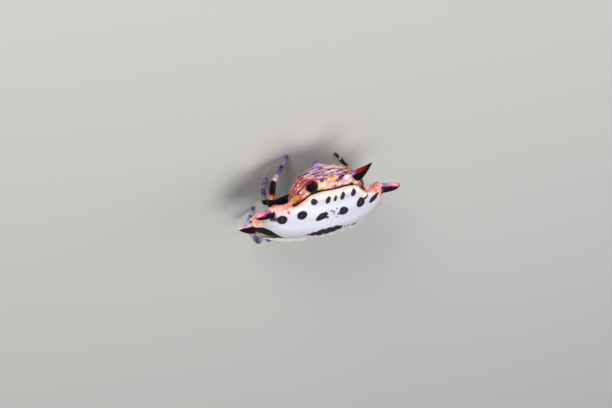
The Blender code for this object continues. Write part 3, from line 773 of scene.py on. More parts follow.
def near_spine(points, name, side):
    """Share along the spine of the nearest point of its line, and the distance to it over its radius."""
    centres, widths = (values[::5] for values in spine_line(name, side))
    share, away = np.zeros(len(points)), np.full(len(points), FAR)
    for i, heading in enumerate(np.diff(centres, axis=0)):
        out = points - centres[i]
        t = np.clip(out @ heading / (heading @ heading), 0, 1)
        width = np.maximum(widths[i] + t * (widths[i + 1] - widths[i]), 0.12)
        distance = np.linalg.norm(out - t[:, None] * heading, axis=1) / width
        nearer = distance < away
        away[nearer] = distance[nearer]
        share[nearer] = ((i + t) / (len(centres) - 1))[nearer]
    return share, away


# The abdomen as one skin, with the spine that each point belongs to

parts = [shield_shape(), underside_shape(), tube(PEDICEL_PATH, PEDICEL_RADII, 24, 8), *spinneret_shapes()]
for name, side in sorted(SPINES, key=lambda key: -key[1]):
    parts += spine_shapes(name, side)
skin_points, skin_polygons = one_skin(parts, *ABDOMEN_MESH)
skin_normals = normals_of(skin_points, skin_polygons)
count = len(skin_points)
x, y, z = skin_points.T
sides = np.abs(x)
drop = shield_top(x, y) - z
middle_x, middle_y = SHIELD_CENTRE
out_x, out_y = x - middle_x, y - middle_y
reach = np.interp(np.arctan2(out_y, out_x), OUTLINE_TURNS, OUTLINE_REACH, period=2 * math.pi)
away = np.hypot(out_x, out_y)
inner = reach - away
stretch = reach / np.maximum(away, 1e-6)
crease_height = shield_top(middle_x + out_x * stretch, middle_y + out_y * stretch) - FOLDS_START
behind = smooth(-0.04, -0.2, inner) * smooth(1.2, 1.6, y) * smooth(3.1, 2.8, sides)
limit = CREASE_DROP - CREASE_CLIMB * hump(sides, 2.1, 0.62) * smooth(0.8, 1.6, y) - 1.4 * behind
on_shield = (drop < limit) & (inner > -0.14)

spine_share, spine_away, spine_of = np.zeros(count), np.full(count, FAR), np.full(count, -1)
for number, key in enumerate(SPINES):
    share, distance = near_spine(skin_points, *key)
    mine = (distance < spine_away) & (distance < SPINE_REACH)
    spine_share[mine], spine_away[mine], spine_of[mine] = share[mine], distance[mine], number
start = np.array([SPINE_FORMS[name][-1] for name, _ in SPINES] + [FAR])[spine_of]
on_spine = (spine_of >= 0) & (spine_share > start)


def noise(size, seed, octaves=2):
    return ripple(skin_points, size, seed, octaves)


# Its dents and folds

lift, dark, halo, pit_core = (np.zeros(count) for _ in range(4))
top = smooth(0.5, 0.32, drop) * smooth(0.15, 0.5, skin_normals[:, 2])
rough_edge = 1 + 0.07 * noise(0.5, 21)
for *place, depth in SIGILLA:
    share = oval(x, y, *place) * rough_edge
    lift -= depth * (smooth(1.12, 0.75, share) - 0.4 * smooth(0.5, 0.1, share)) * top
    dark = np.maximum(dark, smooth(1.05, 0.93, share))
    halo = np.maximum(halo, smooth(1.4, 1.05, share))
    pit_core = np.maximum(pit_core, smooth(0.6, 0.1, share) * (place[2] > 0.3))
for lens, tail in LENSES:
    share = band_share(x, y, lens) * rough_edge
    line = band_share(x, y, tail)
    lift -= (0.06 * smooth(1.1, 0.5, share) + 0.03 * smooth(1.6, 0.4, line)) * top
    dark = np.maximum(dark, smooth(1.06, 0.92, share))
    dark = np.maximum(dark, 0.85 * smooth(1.3, 0.8, line + 0.2 * noise(0.4, 22)))
outer = smooth(5.5, 5.9, sides)
dark *= smooth(0.46 + 0.3 * outer, 0.38 + 0.2 * outer, drop)
off_spine = 1 - smooth(start - 0.06, start + 0.02, spine_share) * (spine_of >= 0)
on_under = smooth(limit - 0.03, limit + 0.05, drop) * off_spine
level = np.clip((crease_height - z) / (crease_height - CONE_TIP[2]), 0, 1)
flank = smooth(1.7, 2.5, sides + 0.2 * noise(1.0, 15)) * on_under
gather = hump(sides, 2.2, 0.75) * smooth(0.6, 1.6, y) * smooth(0.0, 0.25, level)
warp = 0.03 * noise(2.4, 3) + (0.018 + 0.016 * flank) * noise(0.8, 4) - 0.13 * gather
ridge = np.abs(np.sin(math.pi * FOLD_COUNT * (level + warp * smooth(0.0, 0.12, level))))
breaks = smooth(-0.35, 0.25, noise(0.9, 16, 3))
outward = np.clip(1.15 - np.abs(skin_normals[:, 2]) * 0.8, 0, 1)
lift += on_under * outward * FOLD_HEIGHT * (0.45 + 0.55 * breaks) * (ridge**0.7 - 0.6)
cross = np.abs(np.sin(math.pi * (7.4 * np.arctan2(y - 0.4, x) + 3.0 * level + 1.3 * noise(0.8, 9))))
lift += 0.07 * flank * (cross**0.6 - 0.75)
pleat = np.abs(np.sin(math.pi * (2.2 * x + 0.7 * noise(0.9, 33)))) ** 0.5
lift += 0.035 * (pleat - 0.8) * on_under * smooth(0.3, 0.1, level) * smooth(1.0, 1.6, y)
pebble = noise(0.26, 31, 3)
lift += 0.02 * pebble * on_under + 0.01 * noise(1.1, 30) * top
lift += 0.008 * noise(0.18, 32) * on_spine * smooth(0.95, 0.6, spine_share)
lift -= 0.08 * hump(drop - limit, 0.03, 0.09) * (np.abs(inner) < 0.4) * smooth(-1.5, -0.5, y)
skin_points = skin_points + skin_normals * lift[:, None]
skin_normals = normals_of(skin_points, skin_polygons)

# Markings of the shield, with its painted shade and glints

blush = noise(0.9, 12)
near_root = smooth(3.3, 4.6, sides)
margin = smooth(2.0, 2.9, sides) * smooth(-1.7, -1.0, y)
# Painted shade on the white face: greyer lilac on the rear slope, dimmer towards the front, and ivory grey at
# the outer front corners
paint = layered(
    mix(PORCELAIN, PORCELAIN_COOL, smooth(-0.2, 0.8, noise(2.6, 11))),
    ((192, 183, 198), 0.85 * smooth(0.9, 1.9, y)),
)
paint = layered(
    paint * (1 - 0.26 * smooth(-1.2, -2.6, y))[:, None],
    (PALE_CREAM, smooth(0.5, 0.1, inner) * 0.6),
    (IVORY_PAINTED_SHADE, 0.6 * smooth(4.0, 5.4, sides) * smooth(-0.5, -1.2, y)),
    (mix(PALE_CREAM, (206, 196, 204), smooth(-0.3, 0.5, blush)), smooth(-2.85, -3.1, y)),
)
rosy = layered(
    SALMON,
    (PINK, smooth(-0.4, 0.3, blush)),
    (CREAM, smooth(0.0, 0.7, noise(0.5, 13))),
    ((244, 214, 204), 0.6 * smooth(-0.3, 0.3, noise(0.6, 34)) * (x < 0) * smooth(0.75, 0.55, drop)),
) * (0.8, 0.76, 0.9)
rim = np.maximum(smooth(0.1, 0.28, drop), smooth(0.42, 0.1, inner + 0.12 * blush) * near_root)
streak = smooth(0.1, 0.8, ripple(skin_points * (1.0, 2.2, 1.0), 0.8, 17))
spot = np.hypot(x + 4.02, y - 0.66) + 0.03 * blush
brown = oval(sides, y, 5.02, -0.3, 0.36, 0.4) + 0.25 * noise(0.3, 19)
paint = layered(
    paint,
    (rosy, margin * rim * np.where(x < 0, 0.75, 1.0)),
    (PINK, 0.5 * smooth(0.3, 0.5, drop) * smooth(0.2, 1.0, y) * (1 - margin)),
    (SALMON, 0.8 * streak * smooth(0.75, 0.35, inner) * near_root * margin),
    ((214, 74, 44), smooth(0.17, 0.08, spot) * smooth(0.5, 0.3, drop)),
    (BROWN, 0.95 * smooth(1.15, 0.7, brown) * top * (x < 0)),
    ((120, 24, 20), 0.9 * smooth(1.1, 0.7, oval(x, y, 3.2, 0.84, 0.24, 0.16))),
)
for dot_x, dot_y, radius in DOTS:
    close = oval(x, y, dot_x, dot_y, radius, 1.3 * radius)
    paint = layered(
        paint, (TAN, 0.45 * smooth(2.4, 0.8, close) * top), (BROWN, 0.9 * smooth(1.2, 0.8, close) * top)
    )
for lens, _ in LENSES:
    share = band_share(x, y, [(a, b - 0.9 * width - 0.08, 0.17) for a, b, width in lens[1:-1]]) + 0.3 * blush
    paint = mix(paint, linear(OLIVE) * 1.3, 0.85 * smooth(1.3, 0.6, share) * smooth(0.75, 0.6, drop))
# Painted highlights: pale bluish glints in the middle of the larger pits, over their dark colour
painted_pit_glint = smooth(0.35, 0.75, noise(0.3, 14) * 0.6 + 0.6 * pit_core)
pit_colour = layered(INK, ((78, 72, 112), 0.5 * painted_pit_glint), (BLACK, 0.8 * smooth(4.4, 5.0, sides)))
paint = layered(paint, (TAN, 0.16 * halo * (1 - dark) * top), (pit_colour, dark))

# Markings of the underside, with its painted shade and highlights

rear_wall = 1 - smooth(1.5, 2.3, sides + 0.3 * noise(0.8, 25))
hue = noise(1.3, 5)
hue_fine = noise(0.45, 6)
first_band = smooth(0.2, 0.12, level) * smooth(2.7, 2.2, sides) * smooth(1.0, 1.6, y)
rear_ridge = layered(
    (252, 214, 190),
    ((238, 140, 110), smooth(-0.1, 0.5, hue)),
    ((236, 170, 196), 0.8 * smooth(0.1, 0.5, noise(0.7, 26))),
    (GOLD, 0.85 * smooth(0.3, 0.7, noise(0.8, 7))),
)
flank_ridge = layered(
    (238, 118, 74),
    ((240, 150, 124), smooth(-0.3, 0.4, hue)),
    ((150, 70, 110), 0.8 * smooth(0.42, 0.75, level + 0.12 * hue_fine)),
    (GOLD, 0.9 * smooth(0.0, 0.6, noise(0.8, 27)) * smooth(4.2, 4.7, z)),
    ((250, 208, 170), 0.8 * smooth(0.35, 0.8, hue_fine)),
)
# The fold valleys and the flank's cross grooves are darker: partly their own maroon and lilac colour, partly
# painted shade in the creases
valley = mix((136, 104, 190), (34, 18, 60), smooth(-0.3, 0.4, noise(0.7, 8)))
valley = mix((104, 26, 32), valley, np.maximum(rear_wall, 0.2))
soft = layered(
    mix(flank_ridge, rear_ridge, rear_wall),
    (valley, smooth(0.76, 0.44, ridge) * (0.5 + 0.5 * breaks)),
    ((84, 16, 30), 0.9 * smooth(0.44, 0.2, cross + 0.12 * hue_fine) * flank),
)
band_colour = layered(
    (252, 226, 186),
    ((230, 134, 112), smooth(-0.1, 0.5, noise(0.7, 28))),
    (GOLD, 0.6 * smooth(0.3, 0.8, noise(0.6, 29))),
)
soft = layered(
    soft * (1 + 0.22 * pebble)[:, None],
    (band_colour, 0.9 * first_band),
    # Darker in the pleats' grooves: partly their own colour, partly painted shade
    ((150, 74, 60), 0.5 * first_band * smooth(0.55, 0.3, pleat + 0.15 * hue_fine)),
)
# Painted shade and painted light on the rear wall: dark patches where the field is high, pale patches where
# it is low
painted_light_field = ripple(skin_points * (0.8, 1.0, 1.5), 0.62, 35, 3)
painted_light_share = smooth(0.1, 0.2, level) * rear_wall
soft = layered(
    mix(soft, soft * (0.74, 0.58, 0.7), 1 - 0.6 * first_band),
    ((66, 24, 58), 0.75 * smooth(0.22, 0.6, painted_light_field) * painted_light_share),
    ((255, 226, 208), 0.6 * smooth(-0.3, -0.65, painted_light_field) * painted_light_share),
    # Painted highlights: white glints on the ridge tops
    ((255, 236, 230), 0.85 * smooth(0.3, 0.7, pebble) * smooth(0.5, 0.9, ridge) * smooth(-0.6, 0.4, hue)),
)
for *place, target, strength in BLOTCHES:
    blob = oval(x, z, *place) + 0.35 * hue_fine
    soft = mix(soft, target, strength * smooth(1.15, 0.75, blob) * (y > 1.0))
near_tip = np.hypot(x - CONE_TIP[0], y - CONE_TIP[1])
cone_colour = mix((186, 156, 220), PURPLE, 0.8 * smooth(-0.1, 0.6, hue_fine))
wing = smooth(2.9, 3.5, sides) * smooth(-1.6, -0.9, y) * smooth(4.3, 4.6, z)
soft = layered(
    soft,
    (cone_colour, 0.9 * smooth(1.2, 0.8, near_tip) * smooth(2.6, 2.3, z)),
    # A painted highlight: a pale glint on the cone's end
    ((226, 200, 222), 0.8 * smooth(0.34, 0.16, np.hypot(x - 0.2, z - 2.32)) * (y > 1.5)),
    ((136, 108, 176), smooth(0.6, 0.45, near_tip) * smooth(2.0, 1.9, z)),
    (SHELL_DARK, smooth(0.6, 0.45, near_tip) * smooth(1.8, 1.66, z)),
    (mix(rosy, SALMON, 0.3), wing),
    # Painted shade: brown where the skin faces downwards high up, under the shield's edge
    (SHELL_BROWN, 0.5 * smooth(-0.5, -0.9, skin_normals[:, 2]) * smooth(3.9, 4.2, z)),
    (SHELL_BROWN, smooth(0.7, 0.4, np.hypot(x, z - 3.2)) * smooth(-0.75, -1.05, y)),
)
speckle = noise(0.3, 18)
patch = oval(sides, y, 6.25, -1.1, 0.46, 0.66)
# Painted shade along the crease under the shield's edge, widest at its outer end
crease_shade_end = hump(sides, 3.2, 0.26)
crease_shade = hump(drop - limit, 0.05 + 0.1 * crease_shade_end + 0.02 * hue_fine, 0.12 + 0.14 * crease_shade_end)
crease_shade *= smooth(3.6, 3.3, sides) * smooth(0.0, 0.5, y) * (np.abs(inner) < 0.5)
gold = oval(x, z, -3.15, 4.62, 0.36, 0.17) + 0.4 * hue_fine + 0.3 * speckle
paint = layered(
    paint,
    (soft, on_under),
    ((248, 214, 190), 0.9 * smooth(1.2, 0.7, patch + 0.2 * blush)),
    ((230, 150, 104), 0.85 * smooth(0.8, 0.5, patch + 0.5 * speckle)),
    ((58, 18, 22), np.clip(1.5 * crease_shade, 0, 1)),
    ((236, 152, 52), 0.65 * smooth(1.0, 0.5, gold) * (y > 0.3) * (inner < 0.4)),
)


# Markings of the spines


def rear_horn(side, share, facing, band, fine):
    """Colours of a rear spine and where along it they begin: red above, black below, lilac at the root."""
    horn = layered(
        (168, 20, 30),
        ((92, 10, 20), smooth(-0.4, 0.5, band + 0.4 * fine)),
        ((16, 12, 12), smooth(-0.15, 0.15, facing[:, 2] + 0.3 * side * facing[:, 0] + 0.12 * band)),
        (BLACK, smooth(0.8, 0.9, share)),
    )
    base = layered(
        (126, 84, 170),
        ((176, 144, 206), smooth(-0.2, 0.6, band)),
        (BLACK, smooth(-0.1, 0.2, facing[:, 2] + 0.1 * band)),
    )
    return mix(base, horn, smooth(0.38, 0.46, share + 0.03 * band)), smooth(0.24, 0.3, share + 0.02 * band)


def pale_horn(name, side, share, facing, band, fine):
    """Colours of a front or side spine and where along it they begin: pink below, dark above."""
    if name == "spine_side":
        ring = smooth(0.17, 0.05, np.abs(share - (0.35 if side > 0 else 0.52)) + 0.03 * band + 0.02 * fine)
        horn = layered(
            (242, 126, 140),
            ((244, 160, 190), smooth(-0.3, 0.4, band)),
            ((140, 104, 180), 0.95 * ring),
            ((246, 196, 196), smooth(0.4, 0.32, share) * (side < 0)),
            ((98, 96, 156), 0.9 * smooth(0.84, 0.94, share) * (side > 0)),
        )
        rise = 0.36 + 0.44 * smooth(0.45, 0.85, share)
    else:
        horn = layered(
            (236, 150, 170),
            ((226, 196, 222), smooth(-0.3, 0.3, band)),
            ((228, 220, 236), smooth(0.78, 0.92, share)),
        )
        rise = 0.16 + 0.5 * smooth(0.75, 1.0, share)
    upper = smooth(rise - 0.1, rise + 0.1, facing[:, 2] + 0.12 * band)
    horn = layered(
        horn,
        ((120, 26, 72), 0.85 * smooth(rise - 0.4, rise, facing[:, 2]) * smooth(0.35, 0.5, share)),
        (mix((40, 10, 28), BLACK, smooth(-0.3, 0.3, band)), upper * smooth(1.02, 0.9, share)),
    )
    first = SPINE_FORMS[name][-1] + 0.05 * (side < 0)
    return horn, smooth(first - 0.05, first + 0.03, share + 0.02 * band + 0.05 * upper)


for number, (name, side) in enumerate(SPINES):
    mine = spine_of == number
    band = ripple(skin_points[mine], 0.5, 40 + number)
    fine = ripple(skin_points[mine], 0.2, 50 + number)
    looks = (side, spine_share[mine], skin_normals[mine], band, fine)
    horn, begin = rear_horn(*looks) if name == "spine_rear" else pale_horn(name, *looks)
    paint[mine] = mix(paint[mine], horn, begin * smooth(1.6, 1.35, spine_away[mine]))

darkness = np.clip(1 - paint.mean(axis=1) / 0.8, 0, 1)
skin_gloss = 0.22 + 0.1 * smooth(limit, limit + 0.1, drop) + 0.4 * darkness
skin_paint = paint
skin_labels = np.where(on_shield, 0, 1)
skin_labels[on_spine] = 2 + spine_of[on_spine]


def finish_part(name, chosen, material, slot, *nodes):
    """The piece of the skin with the chosen label, with the whole skin's normals so that no seam shows."""
    faces = skin_polygons[face_labels == chosen]
    used, renumbered = np.unique(faces, return_inverse=True)
    rows = (skin_paint[used], skin_gloss[used], skin_normals[used])
    piece = new_piece(name, skin_points[used], renumbered.reshape(faces.shape), *rows)
    finish_piece(piece, material, slot, *nodes)


# A face belongs to a spine only where its four corners do
corner_labels = skin_labels[skin_polygons]
face_labels = np.minimum(corner_labels.min(axis=1), 1)
face_labels = np.where((corner_labels >= 2).all(axis=1), corner_labels[:, 0], face_labels)
finish_part("shield", 0, SHELL, "shield", "abdomen_shield")
finish_part("underside_skin", 1, SOFT, "underside", "abdomen_underside", "pedicel", "spinnerets")
for number, (name, side) in enumerate(SPINES):
    slot = "dark_spine" if name == "spine_rear" else "pale_spine"
    finish_part("horn_" + side_name(name, side), 2 + number, HORN, slot, side_name(name, side))


# Prosoma


def prosoma():
    """Carapace, breast plate and coxae as one hard skin."""
    c, s = around(PROSOMA_SIDES)
    reach = squared(c, s, 1, 1, PROSOMA_SQUARENESS)
    rings = []
    for y, half_width, bottom, top in smooth_curve(PROSOMA_RINGS, 8):
        height = (bottom + top) / 2 + (top - bottom) / 2 * s * reach
        rings.append(np.column_stack([half_width * c * reach, np.full(PROSOMA_SIDES, y), height]))
    parts = [loft(rings)]
    for coxa_end, *_ in LEG_JOINTS.values():
        inner = (coxa_end[0] * 0.35, (coxa_end[1] + COXA_GATHER) / 2, coxa_end[2] + COXA_RISE)
        parts.append(tube((inner, coxa_end), COXA_RADII, 24, 10))
    points, polygons = one_skin(parts, *PROSOMA_MESH)
    normals = normals_of(points, polygons)
    x, y, z = points.T
    up = smooth(0.1, 0.6, normals[:, 2])
    neck = np.abs(y + 3.35 + 0.35 * np.abs(x)) / 0.16
    rays = np.abs(np.sin(3.2 * np.arctan2(np.abs(x), -(y + 2.75))))
    pit = oval(x, y, 0, -2.75, 0.14, 0.3)
    lift = -0.06 * smooth(1.2, 0.2, neck) * up - 0.1 * smooth(1.2, 0.3, pit) * up
    lift += 0.03 * (rays - 0.6) * up * smooth(-3.3, -2.9, y)
    lift += 0.02 * ripple(points, 0.5, 51) + 0.01 * ripple(points, 0.2, 52)
    points = points + normals * lift[:, None]
    normals = normals_of(points, polygons)
    below = smooth(-0.3, -0.7, normals[:, 2])
    plate = smooth(1.0, 0.7, oval(x, y, 0, -3.0, 0.8, 1.1))
    paint = layered(
        mix(SHELL_DARK, SHELL_BROWN, smooth(-0.1, 0.8, ripple(points, 0.8, 53))),
        ((110, 58, 36), 0.6 * smooth(-3.4, -4.0, y) * up * smooth(-0.2, 0.6, ripple(points, 0.5, 54))),
        ((150, 92, 40), 0.55 * below * (1 - plate)),
        (BLACK, 0.7 * below * plate),
        (GOLD, 0.7 * below * smooth(0.5, 0.2, oval(x, y, 0, -3.0, 0.6, 0.8))),
    )
    return points, polygons, normals, paint


case_points, case_polygons, case_normals, case_paint = prosoma()
finish_piece(new_piece("carapace", case_points, case_polygons, case_paint), CASE, "carapace", "prosoma")


# Legs, palps and jaws: chains of rounded segments


def segment(path, radii, bands, sides=LEG_SIDES, steps=10, seed=0):
    """Rings, colours and shares of one segment."""
    rings, shares = rounded_tube(path, radii, sides, steps)
    points, plain = rings.reshape(-1, 3), np.repeat(shares, sides)
    stops, tints = [band[0] for band in bands], np.array([linear(band[1:]) for band in bands])
    where = plain + 0.05 * ripple(points, 0.3, 60 + seed)
    paint = np.column_stack([np.interp(where, stops, tints[:, k]) for k in range(3)])
    joint = hump(plain, 0, 0.05) + hump(plain, 1, 0.05)
    shade = (1 + 0.2 * ripple(points, 0.24, 80 + seed, 3)) * (1 - 0.5 * joint)
    return rings, paint * shade[:, None], shares


def finish_chain(name, segments, haired, material, slot, *nodes):
    """Joins segments into one piece. Returns the rings, shares and colours of those that bear hairs."""
    points, faces, paints, start = [], [], [], 0
    for rings, paint, _ in segments:
        verts, quads = loft(rings)
        points.append(verts)
        faces += [tuple(start + i for i in face) for face in quads]
        paints += [paint, paint[:1], paint[-1:]]
        start += len(verts)
    piece = new_piece(name, np.concatenate(points), faces, np.concatenate(paints))
    finish_piece(piece, material, slot, *nodes)
    return segments[:haired]


def leg_paths(name):
    """Centre lines of the five visible segments."""
    coxa_end, knee, tibia_end, foot = (np.array(point) for point in LEG_JOINTS[name])
    foot = np.array((*foot, 0.0))
    thigh = (coxa_end + knee) / 2 + (0, 0, FEMUR_BOW)
    patella_end = knee + PATELLA_SHARE * (tibia_end - knee)
    bend = tibia_end + FOOT_BEND_SHARE * (foot - tibia_end) + (0, 0, FOOT_BEND_RISE)
    lower = smooth_curve((tibia_end, bend, foot + (0, 0, 0.1)), 12)
    cut = int(METATARSUS_SHARE * (len(lower) - 1))
    return {
        "femur": (coxa_end, thigh, knee),
        "patella": (knee, patella_end),
        "tibia": (patella_end, tibia_end),
        "metatarsus": lower[: cut + 1 : 2],
        "tarsus": lower[cut::2],
    }


def make_leg(name, seed):
    size, bands = next(looks for end, looks in LEG_LOOKS.items() if name.endswith(end))
    segments = []
    for i, (part, path) in enumerate(leg_paths(name).items()):
        steps = 4 if len(path) > 3 else 10
        radii = size * np.array(SEGMENT_RADII[part])
        segments.append(segment(path, radii, bands[part], steps=steps, seed=seed + i))
    foot = segments[-1][0]
    tip = foot[-1].mean(axis=0)
    back = unit(tip - foot[-8].mean(axis=0))
    across = np.cross(back, (0, 0, 1))
    across /= max(np.linalg.norm(across), 1e-6)
    for side in (-1, 1):
        start = tip + 0.04 * side * across - 0.05 * back
        end = start + 0.1 * side * across + np.array((back[0], back[1], 0)) * 0.14
        path = (start, (start + end) / 2 + (0, 0, 0.03), (end[0], end[1], 0.012))
        segments.append(segment(path, (0.03, 0.022, 0.008), CLAW_BANDS, sides=8, steps=3, seed=seed))
    for rings, _, _ in segments:
        rings[:, :, 2] = np.maximum(rings[:, :, 2], LEG_CLEARANCE)
    return finish_chain(name, segments, 5, LIMB, "legs", name + "_femur", name + "_tibia", name + "_foot")


legs = {name: make_leg(name, 10 * i) for i, name in enumerate(LEG_JOINTS)}

mouth = []
for side in (1, -1):
    jaw = [
        segment(mirrored(CHELICERA_PATH, side), CHELICERA_RADII, JAW_BANDS, steps=8, seed=90),
        segment(mirrored(FANG_PATH, side), FANG_RADII, FANG_BANDS, sides=14, seed=91),
    ]
    mouth.append(finish_chain(side_name("jaw", side), jaw, 1, CASE, "carapace", side_name("chelicera", side)))
    joints = mirrored(PALP_PATH, side)
    palp = [segment(joints[i : i + 2], radii, PALP_BANDS, seed=95 + i) for i, radii in enumerate(PALP_RADII)]
    mouth.append(finish_chain(side_name("feeler", side), palp, 4, LIMB, "carapace", side_name("palp", side)))

# Eyes
for node in sorted(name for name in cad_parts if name.startswith("eye_")):
    low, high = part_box(node)
    centre = np.array((low + high) / 2 - SHIFT) / MM
    radius = max(high - low) / 2 / MM
    c, s = around(EYE_SIDES)
    rings = []
    for angle in np.linspace(0.08, math.pi - 0.08, 16):
        height = np.full(EYE_SIDES, math.cos(angle))
        rings.append(centre + radius * np.column_stack([c * math.sin(angle), s * math.sin(angle), height]))
    points, faces = loft(rings[::-1])
    paint = mix(BLACK, (60, 34, 18), smooth(0.2, 1.0, ripple(points, 0.2, 99)))
    finish_piece(new_piece(node.replace("eye", "lens"), points, faces, paint, EYE_GLOSS), EYE, "eyes", node)


# Hairs: each one a curved three-sided cone


def hairs(name, slot, roots, normals, lies, lengths, width, tints, places, curl):
    """One mesh of hairs. Each rises from its root along the normal and bends over towards its lie."""
    normals = unit(normals)
    lies = lies - normals * (lies * normals).sum(axis=1)[:, None]
    lies = lies / np.maximum(np.linalg.norm(lies, axis=1)[:, None], 1e-6)
    across = np.cross(normals, lies)
    points, patch = [], []
    for step, thin in HAIR_RINGS:
        bend = curl * max(step, 0) ** 1.6
        centre = roots + lengths[:, None] * (normals * (step * (1 - 0.55 * bend)) + lies * bend)
        for corner in (0, 1, 2) if thin else (0,):
            turn = 2 * math.pi * corner / 3
            over = lies * (1 - step * curl) - normals * step * curl
            out = math.cos(turn) * across + math.sin(turn) * over
            points.append(centre + width * thin * out)
            patch.append((corner / 2 if thin else 0.5, max(step, 0)))
    points = np.stack(points, axis=1)
    points[..., 2] = np.maximum(points[..., 2], HAIR_CLEARANCE)
    per_hair = points.shape[1]
    walls = []
    for ring in (0, 3):
        for k, after in ((0, 1), (1, 2), (2, 0)):
            walls.append((ring + k, ring + after, ring + 3 + after))
            walls.append((ring + k, ring + 3 + after, ring + 3 + k))
    walls += [(6, 7, 9), (7, 8, 9), (8, 6, 9), (2, 1, 0)]
    faces = (np.array(walls)[None] + per_hair * np.arange(len(roots))[:, None, None]).reshape(-1, 3)
    tints = np.repeat(tints, per_hair, axis=0)
    piece = new_piece(name, points.reshape(-1, 3), faces, tints, HAIR_GLOSS)
    # The map for baking: a small patch for each hair, where its root lies on the unwrapped skin
    patch = (np.array(patch) - 0.5) * BAKE_PATCH
    spread = (places[:, None, :] * (1 - BAKE_PATCH) + BAKE_PATCH / 2 + patch[None]).reshape(-1, 2)
    piece.data.uv_layers.new(name="OFBake").data.foreach_set("uv", spread[faces.ravel()].ravel())
    finish_piece(piece, HAIR, slot)


def round_unwrap(points, centre):
    """Place of each point on a skin unwrapped like a globe about an upright axis."""
    out = points - centre
    turn = np.arctan2(out[:, 1], out[:, 0]) / (2 * math.pi) + 0.5
    return np.column_stack([turn, np.arctan2(out[:, 2], np.hypot(out[:, 0], out[:, 1])) / math.pi + 0.5])


def body_hairs(name, slot, skin, weight):
    """Hairs of one coat on a skin, more of them where the weight is higher."""
    points, normals, paint = skin
    count, length, width, lie, tint, share, centre, seed, curl = COATS[name]
    rng = np.random.default_rng(seed)
    chosen = rng.choice(len(points), size=count, replace=False, p=weight / weight.sum())
    rng = np.random.default_rng(seed + 1)
    roots = points[chosen]
    lies = np.array(lie) + 0.35 * rng.normal(size=(count, 3))
    lengths = length * rng.uniform(0.55, 1.15, count)
    tints = mix(paint[chosen], tint, share) * rng.uniform(0.75, 1.1, (count, 1))
    hairs(name, slot, roots, normals[chosen], lies, lengths, width, tints, round_unwrap(roots, centre), curl)


def limb_hairs(name, slot, limbs):
    """Hairs on chains of segments, lying towards each tip. Each limb has its own strip of the unwrap."""
    per_limb, length, width, seed, pale = LIMB_COATS[name]
    rng = np.random.default_rng(seed)
    found = []
    for index, segments in enumerate(limbs):
        weights = np.array([len(rings) for rings, _, _ in segments], float)
        for order, (rings, paint, shares) in enumerate(segments):
            count = int(per_limb * weights[order] / weights.sum())
            levels, sides = rings.shape[:2]
            level = rng.integers(4, levels - 5, count)
            side = rng.integers(0, sides, count)
            blend = rng.uniform(0, 1, (count, 1))
            here, there = rings[level, side], rings[level + 1, side]
            strip = (index + 0.1 + 0.8 * side / sides) / len(limbs)
            place = np.column_stack([strip, (order + shares[level]) / len(segments)])
            tint = paint.reshape(levels, sides, 3)[level, side]
            facing = here - rings[level].mean(axis=1)
            found.append((here + blend * (there - here), facing, there - here, place, tint))
    roots, facing, lies, places, tints = (np.concatenate(rows) for rows in zip(*found))
    dark = rng.uniform(0, 1, len(roots)) > 0.5
    tints = np.where(dark[:, None], tints * 0.5, mix(tints, HAIR_PALE, pale))
    lengths = length * rng.uniform(0.5, 1.3, len(roots))
    hairs(name, slot, roots, facing, lies, lengths, width, tints, places, 0.75)


abdomen_skin = (skin_points, skin_normals, skin_paint)
x, y, z = skin_points.T
drop = shield_top(x, y) - z
on_face = skin_labels == 0
body_hairs("coat_underside", "underside", abdomen_skin, ((skin_labels == 1) & (drop > 0.75)).astype(float))
front = on_face & (y < -2.6) & (drop > 0.1) & (drop < 0.6)
body_hairs("coat_rim", "shield", abdomen_skin, front.astype(float))
pale_face = on_face & (drop < 0.1) & (skin_paint.mean(axis=1) > 0.4)
body_hairs("coat_shield", "shield", abdomen_skin, pale_face.astype(float))
case_skin = (case_points, case_normals, case_paint)
x, y, z = case_points.T
near_eyes = smooth(0.35, 0.1, np.hypot(np.hypot(x, y + 4.85), z - 4.1) - 0.4)
carapace = smooth(-0.2, 0.3, case_normals[:, 2]) * (1 - 0.85 * near_eyes)
body_hairs("coat_carapace", "carapace", case_skin, carapace)
body_hairs("coat_sternum", "carapace", case_skin, smooth(0.1, -0.4, case_normals[:, 2]))
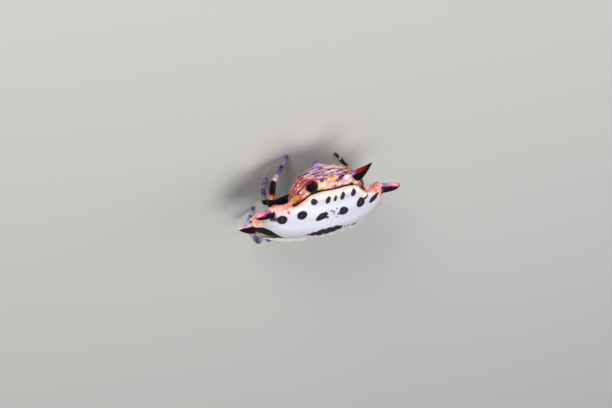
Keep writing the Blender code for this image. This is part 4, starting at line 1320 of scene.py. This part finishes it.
for part in ("left", "right"):
    limb_hairs("coat_legs_" + part, "legs", [legs[name] for name in LEG_JOINTS if part in name])
limb_hairs("coat_mouth", "carapace", mouth)

# Floor, light and camera

floor_mesh = bpy.data.meshes.new("floor")
corners = [(a * FLOOR_REACH, b * FLOOR_REACH, 0) for a, b in ((-1, -1), (1, -1), (1, 1), (-1, 1))]
floor_mesh.from_pydata(corners, [], [(0, 1, 2, 3)])
floor_material, floor_tree, floor_shader = new_material("floor")
set_sockets(floor_tree, floor_shader, {"Base Color": (*linear(FLOOR_TINT), 1), "Roughness": FLOOR_ROUGHNESS})
floor_mesh.materials.append(floor_material)
add_object("floor", floor_mesh)

# Turned to her right rear, tipped, and rolled so far that up in the picture is towards the ground
turned = Matrix.Rotation(VIEW_AZIMUTH, 3, "Z") @ Matrix.Rotation(VIEW_ELEVATION - math.pi / 2, 3, "X")
turned = turned @ Matrix.Rotation(-VIEW_ROLL, 3, "Z")
left, up = ((at - size / 2) * PIXEL for at, size in zip(MIDDLE_AT, FRAME_SIZE))
distance = FRAME_SIZE[0] * PIXEL * LENS_MM / SENSOR_MM
place = SHIFT + Vector((0, 0, SHIELD_MIDDLE * MM)) + turned @ Vector((-left, up, distance))
camera_data = bpy.data.cameras.new("camera")
camera_data.lens = LENS_MM
camera_data.sensor_width = SENSOR_MM
camera_data.clip_start = 0.001
camera = add_object("camera", camera_data)
camera.matrix_world = Matrix.Translation(place) @ turned.to_4x4()
bpy.context.scene.camera = camera

for name, (place, size, watts, tint) in LIGHTS.items():
    data = bpy.data.lights.new(name, "AREA")
    data.size = size
    data.energy = watts
    data.color = tint
    lamp = add_object(name, data)
    lamp.location = Vector(place)
    lamp.rotation_euler = (Vector(place) - Vector((0, 0, LIGHT_AIM))).to_track_quat("Z", "Y").to_euler()
world = bpy.data.worlds.new("studio")
bpy.context.scene.world = world
world.use_nodes = True
background = world.node_tree.nodes["Background"]
set_sockets(world.node_tree, background, {"Color": SKY_TINT, "Strength": SKY_STRENGTH})
bpy.context.scene.view_settings.view_transform = "Standard"
